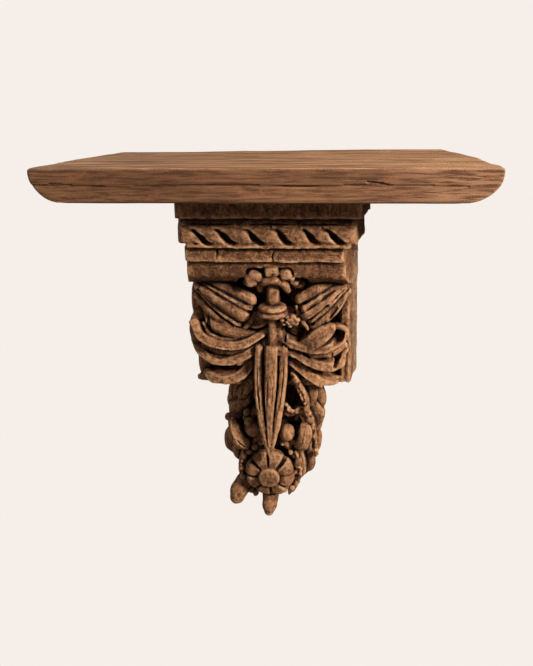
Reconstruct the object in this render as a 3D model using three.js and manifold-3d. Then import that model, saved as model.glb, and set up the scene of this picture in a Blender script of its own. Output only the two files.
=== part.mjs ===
// A carved wooden corbel that carries a small shelf board on a wall.
// Millimetres, +Z up. The origin is the middle of the corbel block's flat back, which
// lies on the wall at Y = 0; the room is towards -Y and X runs along the board.

import * as THREE from "three";
import { mergeVertices } from "three/addons/utils/BufferGeometryUtils.js";
import Module from "manifold-3d";

// Shelf board
const boardFrontWidth = 450;
const boardEndTaper = 27;
const boardThickness = 35;
const boardOverhang = 40;
const boardEndRoundWidth = 43;
const boardSquareEnd = 4;
const boardSeamHeight = 17;
const boardSeamStep = 1.4;
const boardLowerBevel = 2.5;

// The corbel stands a hair below the board that rests on it
const seatGap = 0.3;

// Block and its mouldings, from the top down; a reach is measured out from the wall
const abacusReach = 160;
const abacusHalfWidth = 95;
const abacusHeight = 21;
const notchHeight = 6;
const notchSetBack = 7;
const ropeHeight = 26;
const ropeSetBack = 2;
const ropeBulge = 4;
const ropeNarrowing = 7;
const fasciaHeight = 16;
const fasciaSetBack = 10;
const fasciaNarrowing = 8;
const coveHeight = 21;
const coveDepth = 20;
const shoulderSetBack = 60;
const shoulderSpread = 11;
const roughCornerCut = 11;

// Leaf panel below the mouldings
const panelHeight = 131;
const groundSetBack = 44;
const reliefDepth = 46;
const marginWidth = 12;
const hollowDepth = 17;
const hollowHalfWidth = 34;
const leafThickness = 30;

// Pendant below the block
const pendantHeight = 141;
const pendantHalfWidth = 60;
const pendantProud = 10;

// Carving axis leans a little to one side, as the hand-cut original does
const axisLean = -6;

const boardDepth = abacusReach + boardOverhang;
const mouldingHeight = abacusHeight + notchHeight + ropeHeight + fasciaHeight + coveHeight;
const blockHeight = mouldingHeight + panelHeight;
const blockTop = blockHeight / 2;
const boardUnderside = blockTop + seatGap;
const ropeReach = abacusReach - ropeSetBack;
const ropeHalfWidth = abacusHalfWidth - ropeNarrowing;
const fasciaReach = abacusReach - fasciaSetBack;
const panelFrontReach = fasciaReach - coveDepth;
const groundReach = panelFrontReach - groundSetBack;
const panelHalfWidth = ropeHalfWidth - fasciaNarrowing;
const backHalfWidth = abacusHalfWidth + shoulderSpread;
const pendantReach = panelFrontReach + pendantProud;

const wasm = await Module();
wasm.setup();

// A point on the object: across, down from the block's top, out from the wall
function at(x, drop, reach) {
  return new THREE.Vector3(x, -reach, blockTop - drop);
}

// A point of the leaf panel: across and down in percent of its half width and height,
// and lift from the sunk ground in percent of the relief's depth
function onPanel([x, down, lift]) {
  const lean = (axisLean * (mouldingHeight + (down / 100) * panelHeight)) / (2 * blockHeight);
  return at(
    (x / 100) * panelHalfWidth + lean,
    mouldingHeight + (down / 100) * panelHeight,
    groundReach + (lift / 100) * reliefDepth,
  );
}

// A point of the pendant: across and down in percent of its half width and height,
// and reach from the wall in percent of the pendant's own reach
function onPendant([x, down, reach]) {
  return at(
    (x / 100) * pendantHalfWidth + axisLean,
    blockHeight + (down / 100) * pendantHeight,
    (reach / 100) * pendantReach,
  );
}

function signedVolume(position, index) {
  const [a, b, c] = [new THREE.Vector3(), new THREE.Vector3(), new THREE.Vector3()];
  let total = 0;
  for (let i = 0; i < index.length; i += 3) {
    a.fromBufferAttribute(position, index[i]);
    b.fromBufferAttribute(position, index[i + 1]);
    c.fromBufferAttribute(position, index[i + 2]);
    total += a.dot(b.cross(c)) / 6;
  }
  return total;
}

// Turns a closed geometry into a solid whose faces point out
function solid(geometry) {
  const bare = geometry.clone();
  bare.deleteAttribute("normal");
  bare.deleteAttribute("uv");
  const merged = mergeVertices(bare, 1e-3);
  const index = Uint32Array.from(merged.index.array);
  const kept = [];
  for (let i = 0; i < index.length; i += 3) {
    const [a, b, c] = [index[i], index[i + 1], index[i + 2]];
    if (a !== b && b !== c && c !== a) kept.push(a, b, c);
  }
  if (signedVolume(merged.attributes.position, kept) < 0) {
    for (let i = 0; i < kept.length; i += 3) {
      [kept[i + 1], kept[i + 2]] = [kept[i + 2], kept[i + 1]];
    }
  }
  const mesh = new wasm.Mesh({
    numProp: 3,
    vertProperties: Float32Array.from(merged.attributes.position.array),
    triVerts: Uint32Array.from(kept),
  });
  return new wasm.Manifold(mesh);
}

function joined(solids) {
  return solids.reduce((whole, piece) => whole.add(piece));
}

// Solid wood holds no sealed voids, so the pockets shut in between joined forms are filled
function filled(body) {
  return joined(body.decompose().filter((part) => part.volume() > 0));
}

function toGeometry(body) {
  const mesh = body.getMesh();
  const geometry = new THREE.BufferGeometry();
  geometry.setAttribute("position", new THREE.BufferAttribute(mesh.vertProperties, 3));
  geometry.setIndex(new THREE.BufferAttribute(mesh.triVerts, 1));
  geometry.computeVertexNormals();
  return geometry;
}

function shapeOf(points) {
  return new THREE.Shape(points.map(([x, y]) => new THREE.Vector2(x, y)));
}

// A prism with its outline seen from the side (reach, drop), running along X
function sidePrism(outline, halfLength) {
  const shape = shapeOf(outline.map(([reach, drop]) => [-reach, -drop]));
  const geometry = new THREE.ExtrudeGeometry(shape, { depth: 2 * halfLength, bevelEnabled: false });
  geometry.translate(0, 0, -halfLength);
  const [along, out, up] = [[1, 0, 0], [0, 1, 0], [0, 0, 1]].map((axis) => new THREE.Vector3(...axis));
  geometry.applyMatrix4(new THREE.Matrix4().makeBasis(out, up, along));
  geometry.translate(0, 0, blockTop);
  return solid(geometry);
}

// A prism with its outline seen from above (x, reach), between two drops
function planPrism(outline, topDrop, bottomDrop) {
  const shape = shapeOf(outline.map(([x, reach]) => [x, -reach]));
  const geometry = new THREE.ExtrudeGeometry(shape, { depth: bottomDrop - topDrop, bevelEnabled: false });
  geometry.translate(0, 0, blockTop - bottomDrop);
  return solid(geometry);
}

// Eases a list of values given at even steps along a strand
function valueAt(values, t) {
  const place = Math.min(Math.max(t, 0), 1) * (values.length - 1);
  const low = Math.min(Math.floor(place), values.length - 2);
  const part = place - low;
  const eased = part * part * (3 - 2 * part);
  return values[low] + (values[low + 1] - values[low]) * eased;
}

// A carved strand along a curve: half widths across the face, half depths out of it
function strand(points, widths, depths, steps = 5, sides = 6) {
  const curve = new THREE.CatmullRomCurve3(points, false, "centripetal");
  const geometry = new THREE.CylinderGeometry(1, 1, 1, sides, steps);
  geometry.rotateY(Math.PI / sides);
  const position = geometry.attributes.position;
  for (let i = 0; i < position.count; i++) {
    const t = position.getY(i) + 0.5;
    const centre = curve.getPoint(t);
    const along = curve.getTangent(t);
    const out = new THREE.Vector3(0, -1, 0);
    out.addScaledVector(along, -out.dot(along)).normalize();
    const across = along.clone().cross(out);
    centre.addScaledVector(across, position.getX(i) * valueAt(widths, t));
    centre.addScaledVector(out, position.getZ(i) * valueAt(depths, t));
    position.setXYZ(i, centre.x, centre.y, centre.z);
  }
  return solid(geometry);
}

function ball(centre, radii, rows = 5) {
  const geometry = new THREE.SphereGeometry(1, rows + 2, rows);
  geometry.rotateX(Math.PI / 2);
  geometry.scale(...radii);
  geometry.translate(centre.x, centre.y, centre.z);
  return solid(geometry);
}

function block(centre, sizes, turn = 0) {
  const geometry = new THREE.BoxGeometry(...sizes);
  geometry.rotateY(turn);
  geometry.translate(centre.x, centre.y, centre.z);
  return solid(geometry);
}

// A turned form given by [radius, height] pairs, its foot at one point, its head at another;
// ribs swell and sink its outline that many times around
function turned(foot, head, profile, segments, ribs = 0, ribDepth = 0) {
  const outline = profile.map(([radius, height]) => new THREE.Vector2(radius, height));
  const geometry = new THREE.LatheGeometry(outline, segments);
  const position = geometry.attributes.position;
  for (let i = 0; i < position.count; i++) {
    const angle = Math.atan2(position.getX(i), position.getZ(i));
    const swell = 1 - ribDepth + ribDepth * Math.abs(Math.cos((ribs * angle) / 2)) ** 0.7;
    position.setX(i, position.getX(i) * swell);
    position.setZ(i, position.getZ(i) * swell);
  }
  const axis = head.clone().sub(foot);
  geometry.scale(1, axis.length(), 1);
  const turn = new THREE.Quaternion().setFromUnitVectors(new THREE.Vector3(0, 1, 0), axis.normalize());
  geometry.applyQuaternion(turn);
  geometry.translate(foot.x, foot.y, foot.z);
  return solid(geometry);
}

// Shelf board

function boardEnd(side) {
  const roundHeight = boardThickness - boardSquareEnd;
  const shape = new THREE.Shape();
  shape.moveTo(0, 0);
  shape.lineTo(boardFrontWidth, 0);
  shape.lineTo(boardFrontWidth, -boardThickness);
  shape.lineTo(boardEndRoundWidth, -boardThickness);
  shape.absellipse(
    boardEndRoundWidth, -boardSquareEnd, boardEndRoundWidth, roundHeight, 1.5 * Math.PI, Math.PI, true,
  );
  const length = 4 * boardDepth;
  const settings = { depth: length, bevelEnabled: false, curveSegments: 8 };
  const geometry = new THREE.ExtrudeGeometry(shape, settings);
  geometry.translate(0, 0, -length / 2);
  geometry.rotateX(Math.PI / 2);
  geometry.rotateZ(-Math.atan2(boardEndTaper, boardDepth));
  geometry.translate(-boardFrontWidth / 2, -boardDepth, boardUnderside + boardThickness);
  geometry.scale(side, 1, 1);
  return solid(geometry);
}

function shelfBoard() {
  const top = -seatGap - boardThickness;
  const seam = top + boardSeamHeight;
  const underside = -seatGap;
  const lowerReach = boardDepth - boardSeamStep;
  const edge = sidePrism(
    [
      [0, top],
      [boardDepth, top],
      [boardDepth, seam],
      [lowerReach, seam + boardSeamStep],
      [lowerReach, underside - boardLowerBevel],
      [lowerReach - boardLowerBevel, underside],
      [0, underside],
    ],
    boardFrontWidth,
  );
  return edge.intersect(boardEnd(-1)).intersect(boardEnd(1));
}

// Block and mouldings

// One course of the block: its half widths at the front and the shoulder, cut to a front profile
function course(topDrop, bottomDrop, profile, frontHalfWidth, rightCut = 0) {
  const frontReach = Math.max(...profile.map(([reach]) => reach));
  const shoulderReach = abacusReach - shoulderSetBack;
  const spread = (shoulderSpread * (frontReach - shoulderReach)) / shoulderSetBack;
  const shoulder = frontHalfWidth + spread;
  const plan = planPrism(
    [
      [-shoulder, 0],
      [shoulder, 0],
      [shoulder, shoulderReach],
      [frontHalfWidth - rightCut, frontReach],
      [-frontHalfWidth, frontReach],
      [-shoulder, shoulderReach],
    ],
    topDrop,
    bottomDrop,
  );
  const front = sidePrism([[0, topDrop], ...profile, [0, bottomDrop]], 2 * backHalfWidth);
  return plan.intersect(front);
}

function mouldings() {
  const notchTop = abacusHeight;
  const ropeTop = notchTop + notchHeight;
  const fasciaTop = ropeTop + ropeHeight;
  const coveTop = fasciaTop + fasciaHeight;
  const notchReach = abacusReach - notchSetBack;
  const abacus = course(0, notchTop, [[abacusReach, 0], [abacusReach, notchTop]], abacusHalfWidth);
  const notch = course(
    notchTop, ropeTop, [[notchReach, notchTop], [notchReach, ropeTop]], ropeHalfWidth - notchSetBack / 7,
  );
  const roll = [];
  for (let i = 0; i <= 6; i++) {
    const share = i / 6;
    const swell = Math.sin(Math.PI * share) ** 0.6;
    roll.push([ropeReach - ropeBulge * (1 - swell), ropeTop + ropeHeight * share]);
  }
  const rope = course(ropeTop, fasciaTop, roll, ropeHalfWidth);
  const fascia = course(
    fasciaTop, coveTop, [[fasciaReach, fasciaTop], [fasciaReach, coveTop]], ropeHalfWidth, roughCornerCut,
  );
  const coveLip = 3;
  const hollow = [];
  for (let i = 0; i <= 4; i++) {
    const angle = (Math.PI / 2) * (i / 4);
    hollow.push([
      fasciaReach - coveLip - (coveDepth - coveLip) * Math.sin(angle),
      coveTop + coveHeight * (1 - Math.cos(angle)),
    ]);
  }
  const cove = course(coveTop, mouldingHeight, hollow, ropeHalfWidth, roughCornerCut);
  return joined([abacus, notch, rope, fascia, cove]);
}

// Slanted S-shaped gouges that make the roll look like a rope; where each one starts,
// in percent of the roll's half width
const gougeStarts = [-92, -67, -29, 2, 33, 62];
const gougeLength = 26;

function ropeGouges() {
  const ropeTop = abacusHeight + notchHeight;
  return gougeStarts.map((start) => {
    const x = (start / 100) * ropeHalfWidth;
    const path = [
      [0, 0.24],
      [0.28, 0.32],
      [0.52, 0.6],
      [0.66, 0.8],
      [1, 0.92],
    ].map(([across, down]) => at(x + across * gougeLength, ropeTop + down * ropeHeight, ropeReach));
    return strand(path, [0.8, 2.8, 4.4, 3, 0.6], [2, 5, 6.5, 5, 2], 5, 5);
  });
}

// Leaf panel

function panelBlock() {
  const shoulderReach = abacusReach - shoulderSetBack;
  const shoulder = panelHalfWidth + marginWidth;
  const marginReach = panelFrontReach - marginWidth;
  const bedReach = groundReach + hollowDepth;
  const half = [
    [shoulder, 0],
    [shoulder, shoulderReach],
    [panelHalfWidth + marginWidth / 4, marginReach],
    [panelHalfWidth - marginWidth / 2, marginReach],
    [panelHalfWidth - marginWidth, bedReach],
    [hollowHalfWidth + marginWidth, bedReach],
    [hollowHalfWidth, groundReach],
  ];
  const mirrored = half.map(([x, reach]) => [-x, reach]).reverse();
  const block = planPrism([...half, ...mirrored], mouldingHeight, blockHeight);
  return block.subtract(cornerChip());
}

// The lower right corner of the block is chipped away
function cornerChip() {
  const outer = panelHalfWidth + marginWidth + 2;
  const shape = shapeOf([
    [outer, 14],
    [outer - 4, 13],
    [outer - 8, 7],
    [outer - 13, 5],
    [outer - 14, -2],
    [outer, -2],
  ]);
  const settings = { depth: abacusReach - shoulderSetBack, bevelEnabled: false };
  const geometry = new THREE.ExtrudeGeometry(shape, settings);
  geometry.rotateX(Math.PI / 2);
  geometry.translate(0, -shoulderSetBack / 2, blockTop - blockHeight);
  return solid(geometry);
}

// Ribbed buds that point to the upper corners of the panel
function bud(tip, base, thickness) {
  const profile = [
    [0, -0.02],
    [0.72 * thickness, 0],
    [1.02 * thickness, 0.16],
    [0.98 * thickness, 0.5],
    [0.58 * thickness, 0.93],
    [0, 1],
  ];
  return turned(onPanel(base), onPanel(tip), profile, 32, 8, 0.26);
}

function panelStrand(points, widths, depths, steps, sides) {
  return strand(points.map(onPanel), widths, depths, steps, sides);
}

// A leaf's strand keeps its face where its points say and is carved down into the bed
function leafStrand(points, widths, steps) {
  const face = points.map(([x, down, lift]) => [x, down, lift - leafThickness * 50 / reliefDepth]);
  return panelStrand(face, widths, widths.map(() => leafThickness * 0.6), steps);
}

function leaves() {
  const left = [
    leafStrand([[-17, 50, 108], [-34, 58, 114], [-56, 62, 116], [-78, 60, 108], [-94, 50, 90]],
      [3, 4.8, 5.2, 5, 3.5]),
    leafStrand([[-22, 59, 110], [-42, 72, 114], [-66, 75, 114], [-90, 67, 104], [-105, 56, 82]],
      [3, 4.6, 5, 5, 4]),
    leafStrand([[-20, 67, 106], [-38, 82, 112], [-58, 92, 110], [-84, 94, 102], [-98, 87, 84]],
      [3.6, 5.6, 6, 5.6, 4]),
    leafStrand([[-38, 60, 92], [-58, 52, 104], [-76, 44, 102], [-92, 34, 80]], [6, 13, 13, 6], 4),
    leafStrand([[-26, 64, 98], [-52, 68, 104], [-76, 67, 102], [-94, 60, 88]], [2, 6.5, 7, 3], 4),
    leafStrand([[-106, 32, 62], [-112, 46, 72], [-111, 60, 70], [-102, 72, 66]], [4, 8, 8, 4], 4),
    leafStrand([[-101, 8, 60], [-105, 20, 66], [-107, 34, 64]], [5, 7, 5], 3),
    leafStrand([[-98, 76, 66], [-99, 86, 70], [-94, 96, 68]], [6, 7, 6], 2),
  ];
  const right = [
    leafStrand([[16, 46, 108], [26, 54, 114], [40, 60, 116], [66, 64, 112], [90, 61, 106], [101, 51, 98],
      [93, 43, 92], [78, 44, 84]], [3, 4.6, 5, 4.8, 4.2, 4, 3.6, 2.4], 10),
    leafStrand([[8, 54, 108], [20, 63, 114], [40, 72, 118], [70, 81, 114], [93, 77, 104], [98, 68, 92]],
      [3, 4.8, 5.6, 5.6, 4.6, 3.4], 6),
    leafStrand([[12, 65, 106], [24, 75, 112], [38, 85, 112], [60, 92, 106], [86, 94, 94]],
      [3.2, 5.4, 6.4, 6, 4.4]),
    leafStrand([[32, 60, 92], [54, 50, 106], [74, 42, 102], [88, 34, 80]], [5, 12, 11, 5], 4),
    leafStrand([[36, 70, 98], [62, 71, 108], [92, 66, 96]], [3, 8, 4], 4),
    leafStrand([[98, 4, 62], [101, 22, 68], [100, 40, 66]], [5, 7, 5], 3),
    leafStrand([[103, 58, 64], [100, 76, 68], [101, 90, 64]], [5, 7, 5], 2),
    leafStrand([[14, 66, 100], [26, 84, 104], [40, 104, 96]], [2, 4.6, 2.6], 4),
  ];
  const calyxes = [
    panelStrand([[-24, 34, 92], [-34, 42, 92], [-44, 48, 84]], [1.4, 2.2, 1.4], [6, 7, 6], 3, 4),
    panelStrand([[30, 24, 90], [36, 36, 92], [43, 43, 86]], [1.4, 2.2, 1.4], [6, 7, 6], 3, 4),
  ];
  return [...left, ...right, ...calyxes];
}

// Stem with its rings, the loop over its head and the three small blocks under the cove
function stem() {
  const pieces = [
    panelStrand([[0, -4, 100], [0, 12, 106], [-1, 27, 110]], [6.4, 6.8, 6.4], [14, 14, 14], 2, 8),
    panelStrand([[-2, 26, 108], [-2, 42, 106], [-2, 58, 112]], [4.6, 5, 4.8], [14, 14, 14], 2, 8),
    panelStrand([[-18, 10, 92], [-14, 1, 114], [-1, -2.5, 122], [13, 1, 114], [20, 10, 92]],
      [3.6, 4, 4, 4, 3.6], [8, 8, 8, 8, 8], 6),
    panelStrand([[-3, 54, 114], [-3, 60, 116]], [7.6, 7.8], [13, 13], 1, 8),
    panelStrand([[0, -14, 80], [0, 6, 76]], [18, 14], [22, 22], 1, 6),
    panelStrand([[-1, 12, 66], [-1, 44, 66], [-2, 72, 72]], [8, 14, 20], [26, 26, 26], 2, 6),
  ];
  const ringRadius = 11.6;
  const ringThickness = 7.2;
  for (const down of [26.5, 30.5]) {
    const ring = new THREE.TorusGeometry(ringRadius, ringThickness / 2, 5, 12);
    const centre = onPanel([0.5, down, 108]);
    ring.translate(centre.x, centre.y, centre.z);
    pieces.push(solid(ring));
  }
  const knobs = [
    { spot: [-23, -1.5, 112], sizes: [15, 24, 11], turn: 0.3 },
    { spot: [1, -8, 114], sizes: [12, 26, 11], turn: -0.05 },
    { spot: [21, -6, 112], sizes: [14, 24, 13], turn: -0.25 },
  ];
  for (const { spot, sizes, turn } of knobs) {
    pieces.push(block(onPanel(spot), sizes, turn));
  }
  return pieces;
}

// A small petalled rosette right of the stem and two nested crescents left of it
function stemFlowers() {
  const pieces = [];
  const centre = onPanel([22, 35, 104]);
  pieces.push(ball(centre, [10, 8, 6.5], 5));
  for (let i = 0; i < 6; i++) {
    const angle = (2 * Math.PI * i) / 6;
    const petal = centre.clone().add(new THREE.Vector3(8 * Math.cos(angle), -3, 5.5 * Math.sin(angle)));
    pieces.push(ball(petal, [3.6, 6, 3.2], 3));
  }
  const middle = onPanel([-21, 32, 94]);
  for (const size of [12, 7]) {
    const crescent = [-1, -0.75, -0.5, -0.25, 0].map((turn) => {
      const angle = turn * Math.PI;
      return middle.clone().add(new THREE.Vector3(size * Math.cos(angle), 0, 0.85 * size * Math.sin(angle)));
    });
    pieces.push(strand(crescent, [1.6, 2.2, 2.4, 2.2, 1.6], [7, 8, 8, 8, 7], 5, 4));
  }
  pieces.push(ball(onPanel([-21, 33, 70]), [12, 18, 9], 4));
  return pieces;
}

// A hanging sheaf of folded blades that meet in one point
function sheaf() {
  const tip = [-2, 150, 148];
  const blades = [
    { head: [-2, 58, 124], bend: [-3, 100, 136], widths: [6.6, 6.6, 5, 1.2], depth: 10 },
    { head: [-17, 60, 112], bend: [-15, 104, 124], widths: [3.4, 4, 3.2, 1], depth: 10 },
    { head: [14, 60, 112], bend: [10, 104, 124], widths: [3.8, 4, 3.2, 1], depth: 10 },
    { head: [-10, 72, 112], bend: [-9.5, 112, 132], widths: [2.6, 3, 2.6, 1], depth: 9 },
    { head: [7, 72, 112], bend: [4.5, 112, 132], widths: [2.6, 3, 2.6, 1], depth: 9 },
  ];
  return blades.map(({ head, bend, widths, depth }) =>
    panelStrand([head, bend, tip], widths, [depth, depth, depth * 0.8, 4], 4, 5),
  );
}

// Pendant

// Half width, front reach and back reach of the pendant's core, in percent, down its height
const coreRows = [
  [-12, 70, 78, 0],
  [0, 84, 84, 0],
  [18, 96, 92, 0],
  [38, 100, 98, 0],
  [56, 96, 98, 4],
  [72, 76, 94, 14],
  [86, 56, 84, 28],
  [96, 34, 72, 42],
  [100, 12, 62, 52],
];

function coreAt(down) {
  let row = coreRows.findIndex(([level]) => level >= down);
  row = Math.max(row, 1);
  const [low, high] = [coreRows[row - 1], coreRows[row]];
  const share = (down - low[0]) / (high[0] - low[0]);
  return low.map((value, i) => value + (high[i] - value) * share);
}

// A spot on the core's surface: 0 degrees is its right side, 90 its front, 180 its left
function coreSpot(degrees, down, sink = 1) {
  const [, width, front, back] = coreAt(down);
  const angle = (degrees * Math.PI) / 180;
  const [middle, half] = [(front + back) / 2, (front - back) / 2];
  const side = Math.sign(Math.cos(angle)) * Math.abs(Math.cos(angle)) ** 0.8;
  const face = Math.sign(Math.sin(angle)) * Math.abs(Math.sin(angle)) ** 0.8;
  return onPendant([sink * width * side, down, middle + sink * half * face]);
}

function pendantCore() {
  const sides = 16;
  const geometry = new THREE.CylinderGeometry(1, 1, 1, sides, coreRows.length - 1);
  const position = geometry.attributes.position;
  for (let i = 0; i < position.count; i++) {
    const row = Math.round((0.5 - position.getY(i)) * (coreRows.length - 1));
    const degrees = (Math.atan2(position.getZ(i), position.getX(i)) * 180) / Math.PI;
    const spread = Math.hypot(position.getX(i), position.getZ(i)) < 0.5 ? 0 : 1;
    const spot = coreSpot(degrees, coreRows[row][0], spread);
    position.setXYZ(i, spot.x, spot.y, spot.z);
  }
  return solid(geometry);
}

// A pointed leaf that lies on the core, from its root to its tip
function pendantLeaf(root, tip, width, depth = 7) {
  const middle = root.map((value, i) => (value + tip[i]) / 2);
  const spots = [root, middle, tip].map(([degrees, down]) => coreSpot(degrees, down, 1));
  return strand(spots, [width * 0.5, width, width * 0.4], [depth * 0.7, depth, depth * 0.6], 3, 5);
}

function pendantCarving() {
  const pieces = [];
  pieces.push(ball(onPendant([-50, 34, 97]), [9.5, 10, 9.5]));
  pieces.push(ball(onPendant([38, 30, 97]), [9, 10, 9]));
  pieces.push(pendantLeaf([134, 30], [118, 50], 8, 9));
  pieces.push(pendantLeaf([52, 22], [48, 50], 6, 10));
  pieces.push(pendantLeaf([66, 4], [40, 54], 4, 8));
  pieces.push(pendantLeaf([128, 4], [140, 30], 5, 8));
  pieces.push(pendantLeaf([120, 54], [110, 84], 4, 8));
  pieces.push(pendantLeaf([112, -4], [118, 22], 8, 6));
  pieces.push(pendantLeaf([74, -2], [70, 24], 7, 6));
  pieces.push(ball(onPendant([56, 74, 88]), [6, 9, 7], 6));
  pieces.push(ball(onPendant([36, 85, 84]), [6, 9, 6], 6));
  for (const [row, down] of [0, 24, 48].entries()) {
    for (let i = 0; i < 3; i++) {
      const degrees = -2 + i * 24 + (row % 2) * 11;
      for (const turn of [degrees, 180 - degrees]) {
        const bend = turn > 90 ? -7 : 7;
        pieces.push(pendantLeaf([turn, down], [turn + bend, down + 27], 11, 8));
      }
    }
  }
  return pieces;
}

// Eight-petalled flower at the pendant's lower front, tilted a little down
function pendantFlower() {
  const radius = 27;
  const centre = onPendant([0, 66, 96]);
  const face = centre.clone().add(new THREE.Vector3(0, -10, -1.5));
  const dome = [
    [0, -1.4],
    [0.8 * radius, -1.2],
    [radius, -0.5],
    [0.96 * radius, 0.1],
    [0.72 * radius, 0.62],
    [0.4 * radius, 0.8],
    [0, 0.85],
  ];
  let flower = turned(centre, face, dome, 20);
  const slots = [];
  for (let i = 0; i < 8; i++) {
    const angle = (Math.PI / 4) * (i + 0.1);
    const slot = new THREE.BoxGeometry(0.62 * radius, 9, 2.2);
    slot.translate(0.74 * radius, -9, 0);
    slot.rotateY(angle);
    slot.translate(centre.x, centre.y, centre.z);
    slots.push(solid(slot));
  }
  flower = flower.subtract(joined(slots));
  const button = [
    [0, 0],
    [0.44 * radius, 0],
    [0.44 * radius, 1.05],
    [0.34 * radius, 1.2],
    [0, 1.22],
  ];
  return flower.add(turned(centre, face, button, 12));
}

// Egg-shaped drops that hang from the pendant's lower edge
function drops() {
  const egg = (thickness) => [
    [0, 0],
    [0.62 * thickness, 0.04],
    [0.96 * thickness, 0.22],
    [thickness, 0.42],
    [0.8 * thickness, 0.72],
    [0.45 * thickness, 0.93],
    [0, 1],
  ];
  return [
    turned(onPendant([-46, 74, 82]), onPendant([-72, 104, 86]), egg(10.5), 8),
    turned(onPendant([0, 78, 84]), onPendant([-3, 111, 92]), egg(9.4), 8),
  ];
}

function carvedCorbel() {
  const carving = [
    bud([-106, 10, 62], [-36, 42, 70], 19),
    bud([101, 8, 60], [40, 41, 70], 19),
    ...leaves(),
    ...stem(),
    ...stemFlowers(),
    ...sheaf(),
    pendantCore(),
    ...pendantCarving(),
    pendantFlower(),
    ...drops(),
  ];
  const body = joined([mouldings(), panelBlock(), ...carving]);
  return filled(body.subtract(joined(ropeGouges())));
}

const boardWood = new THREE.MeshStandardMaterial({ color: 0x8a5f3c, roughness: 0.7, metalness: 0 });
const corbelWood = new THREE.MeshStandardMaterial({ color: 0x7a4f2f, roughness: 0.75, metalness: 0 });

function piece(name, body, material) {
  const mesh = new THREE.Mesh(toGeometry(body), material);
  mesh.name = name;
  return mesh;
}

const group = new THREE.Group();
group.add(piece("shelf_board", shelfBoard(), boardWood));
group.add(piece("carved_corbel", carvedCorbel(), corbelWood));

export default group;
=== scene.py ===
import math

import bpy
import numpy as np
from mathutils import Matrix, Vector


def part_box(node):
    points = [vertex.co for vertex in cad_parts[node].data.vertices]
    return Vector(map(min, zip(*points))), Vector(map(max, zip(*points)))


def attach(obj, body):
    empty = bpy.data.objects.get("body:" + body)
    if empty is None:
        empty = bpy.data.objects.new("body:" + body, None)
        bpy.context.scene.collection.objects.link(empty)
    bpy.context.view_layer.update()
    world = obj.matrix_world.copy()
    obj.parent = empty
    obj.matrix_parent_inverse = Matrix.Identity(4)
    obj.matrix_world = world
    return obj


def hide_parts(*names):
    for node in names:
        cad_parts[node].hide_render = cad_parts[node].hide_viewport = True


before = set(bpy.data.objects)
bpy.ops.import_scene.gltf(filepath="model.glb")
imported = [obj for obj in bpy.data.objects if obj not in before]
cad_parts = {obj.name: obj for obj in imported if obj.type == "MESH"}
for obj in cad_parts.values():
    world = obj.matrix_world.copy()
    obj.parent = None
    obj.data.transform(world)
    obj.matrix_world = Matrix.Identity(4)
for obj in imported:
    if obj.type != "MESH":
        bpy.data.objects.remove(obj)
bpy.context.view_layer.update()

import openvdb
from mathutils import Matrix, Vector

# The carving is worked out in millimetres as signed distances on a grid, then set in metres
MM = 0.001
PITCH = 0.95
BOARD_PITCH = 1.15
MOST_FACES = 190000
MOST_BOARD_FACES = 120000
# Distances are held below FAR, and NEAR is the room that is kept round a small form
FAR = 8.0
NEAR = 0.6 * FAR
# How far the block's plans run past the wall before its back is cut flat
BEHIND_WALL = 20
EDGE_SOFTNESS = 1.2
# Points of a curve for each one given, and the turn of the chisel marks' wave for each millimetre
SPAN_STEPS = 6
MARK_TURN = 1.75
OUTWARD = (0, -1, 0)
# How far round a point the wood is looked at, for each layer that the finish reads for wear, dust, painted
# highlights and painted shade
LAYER_REACH = {"worn": 1.6, "hollow": 3.2, "deep": 9.0}

# Sizes taken from the frame
block_low, block_high = (np.array(corner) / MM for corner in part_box("carved_corbel"))
board_low, board_high = (np.array(corner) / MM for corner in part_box("shelf_board"))
block_top = block_high[2]
abacus_reach = -block_low[1]
back_half_width = block_high[0]
board_top = board_high[2]
board_under = board_low[2]
board_depth = -board_low[1]
board_half_width = board_high[0]

# Mouldings, from the top down
abacus_height = 21
notch_height = 6
notch_set_back = 7
rope_height = 26
rope_set_back = 2
rope_narrowing = 7
band_height = 16
band_set_back = 10
band_narrowing = 8
cove_height = 21
cove_depth = 20
shoulder_set_back = 60
shoulder_spread = 11
rough_corner_cut = 11

# Leaf panel and pendant
panel_height = 131
ground_set_back = 44
relief_depth = 46
margin_width = 12
hollow_depth = 17
hollow_half_width = 34
pendant_height = 141
pendant_half_width = 60
pendant_proud = 10
axis_lean = -6

# Where each moulding starts, down from the block's top
notch_top = abacus_height
rope_top = notch_top + notch_height
band_top = rope_top + rope_height
cove_top = band_top + band_height
moulding_height = cove_top + cove_height
block_height = moulding_height + panel_height

# How far out and how wide each part is
abacus_half_width = back_half_width - shoulder_spread
notch_reach = abacus_reach - 0.85 * notch_set_back
rope_reach = abacus_reach - rope_set_back
rope_half_width = abacus_half_width - rope_narrowing
band_reach = abacus_reach - band_set_back
panel_front = band_reach - cove_depth
ground_reach = panel_front - ground_set_back
panel_half_width = rope_half_width - band_narrowing
pendant_reach = panel_front + pendant_proud
shoulder_reach = abacus_reach - shoulder_set_back


def at(x, drop, reach):
    """Across, down from the block's top and out from the wall."""
    return np.array([x, -reach, block_top - drop], float)


def on_panel(x, down, lift):
    """A point of the leaf panel, in percent of its half width, its height and its relief."""
    drop = moulding_height + down / 100 * panel_height
    lean = axis_lean * drop / (2 * block_height)
    return at(x / 100 * panel_half_width + lean, drop, ground_reach + lift / 100 * relief_depth)


def on_pendant(x, down, reach):
    """A point of the pendant, in percent of its half width, its height and its reach."""
    drop = block_height + down / 100 * pendant_height
    return at(x / 100 * pendant_half_width + axis_lean, drop, reach / 100 * pendant_reach)


def behind(depth):
    """A step towards the wall."""
    return np.array([0, depth, 0])


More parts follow.
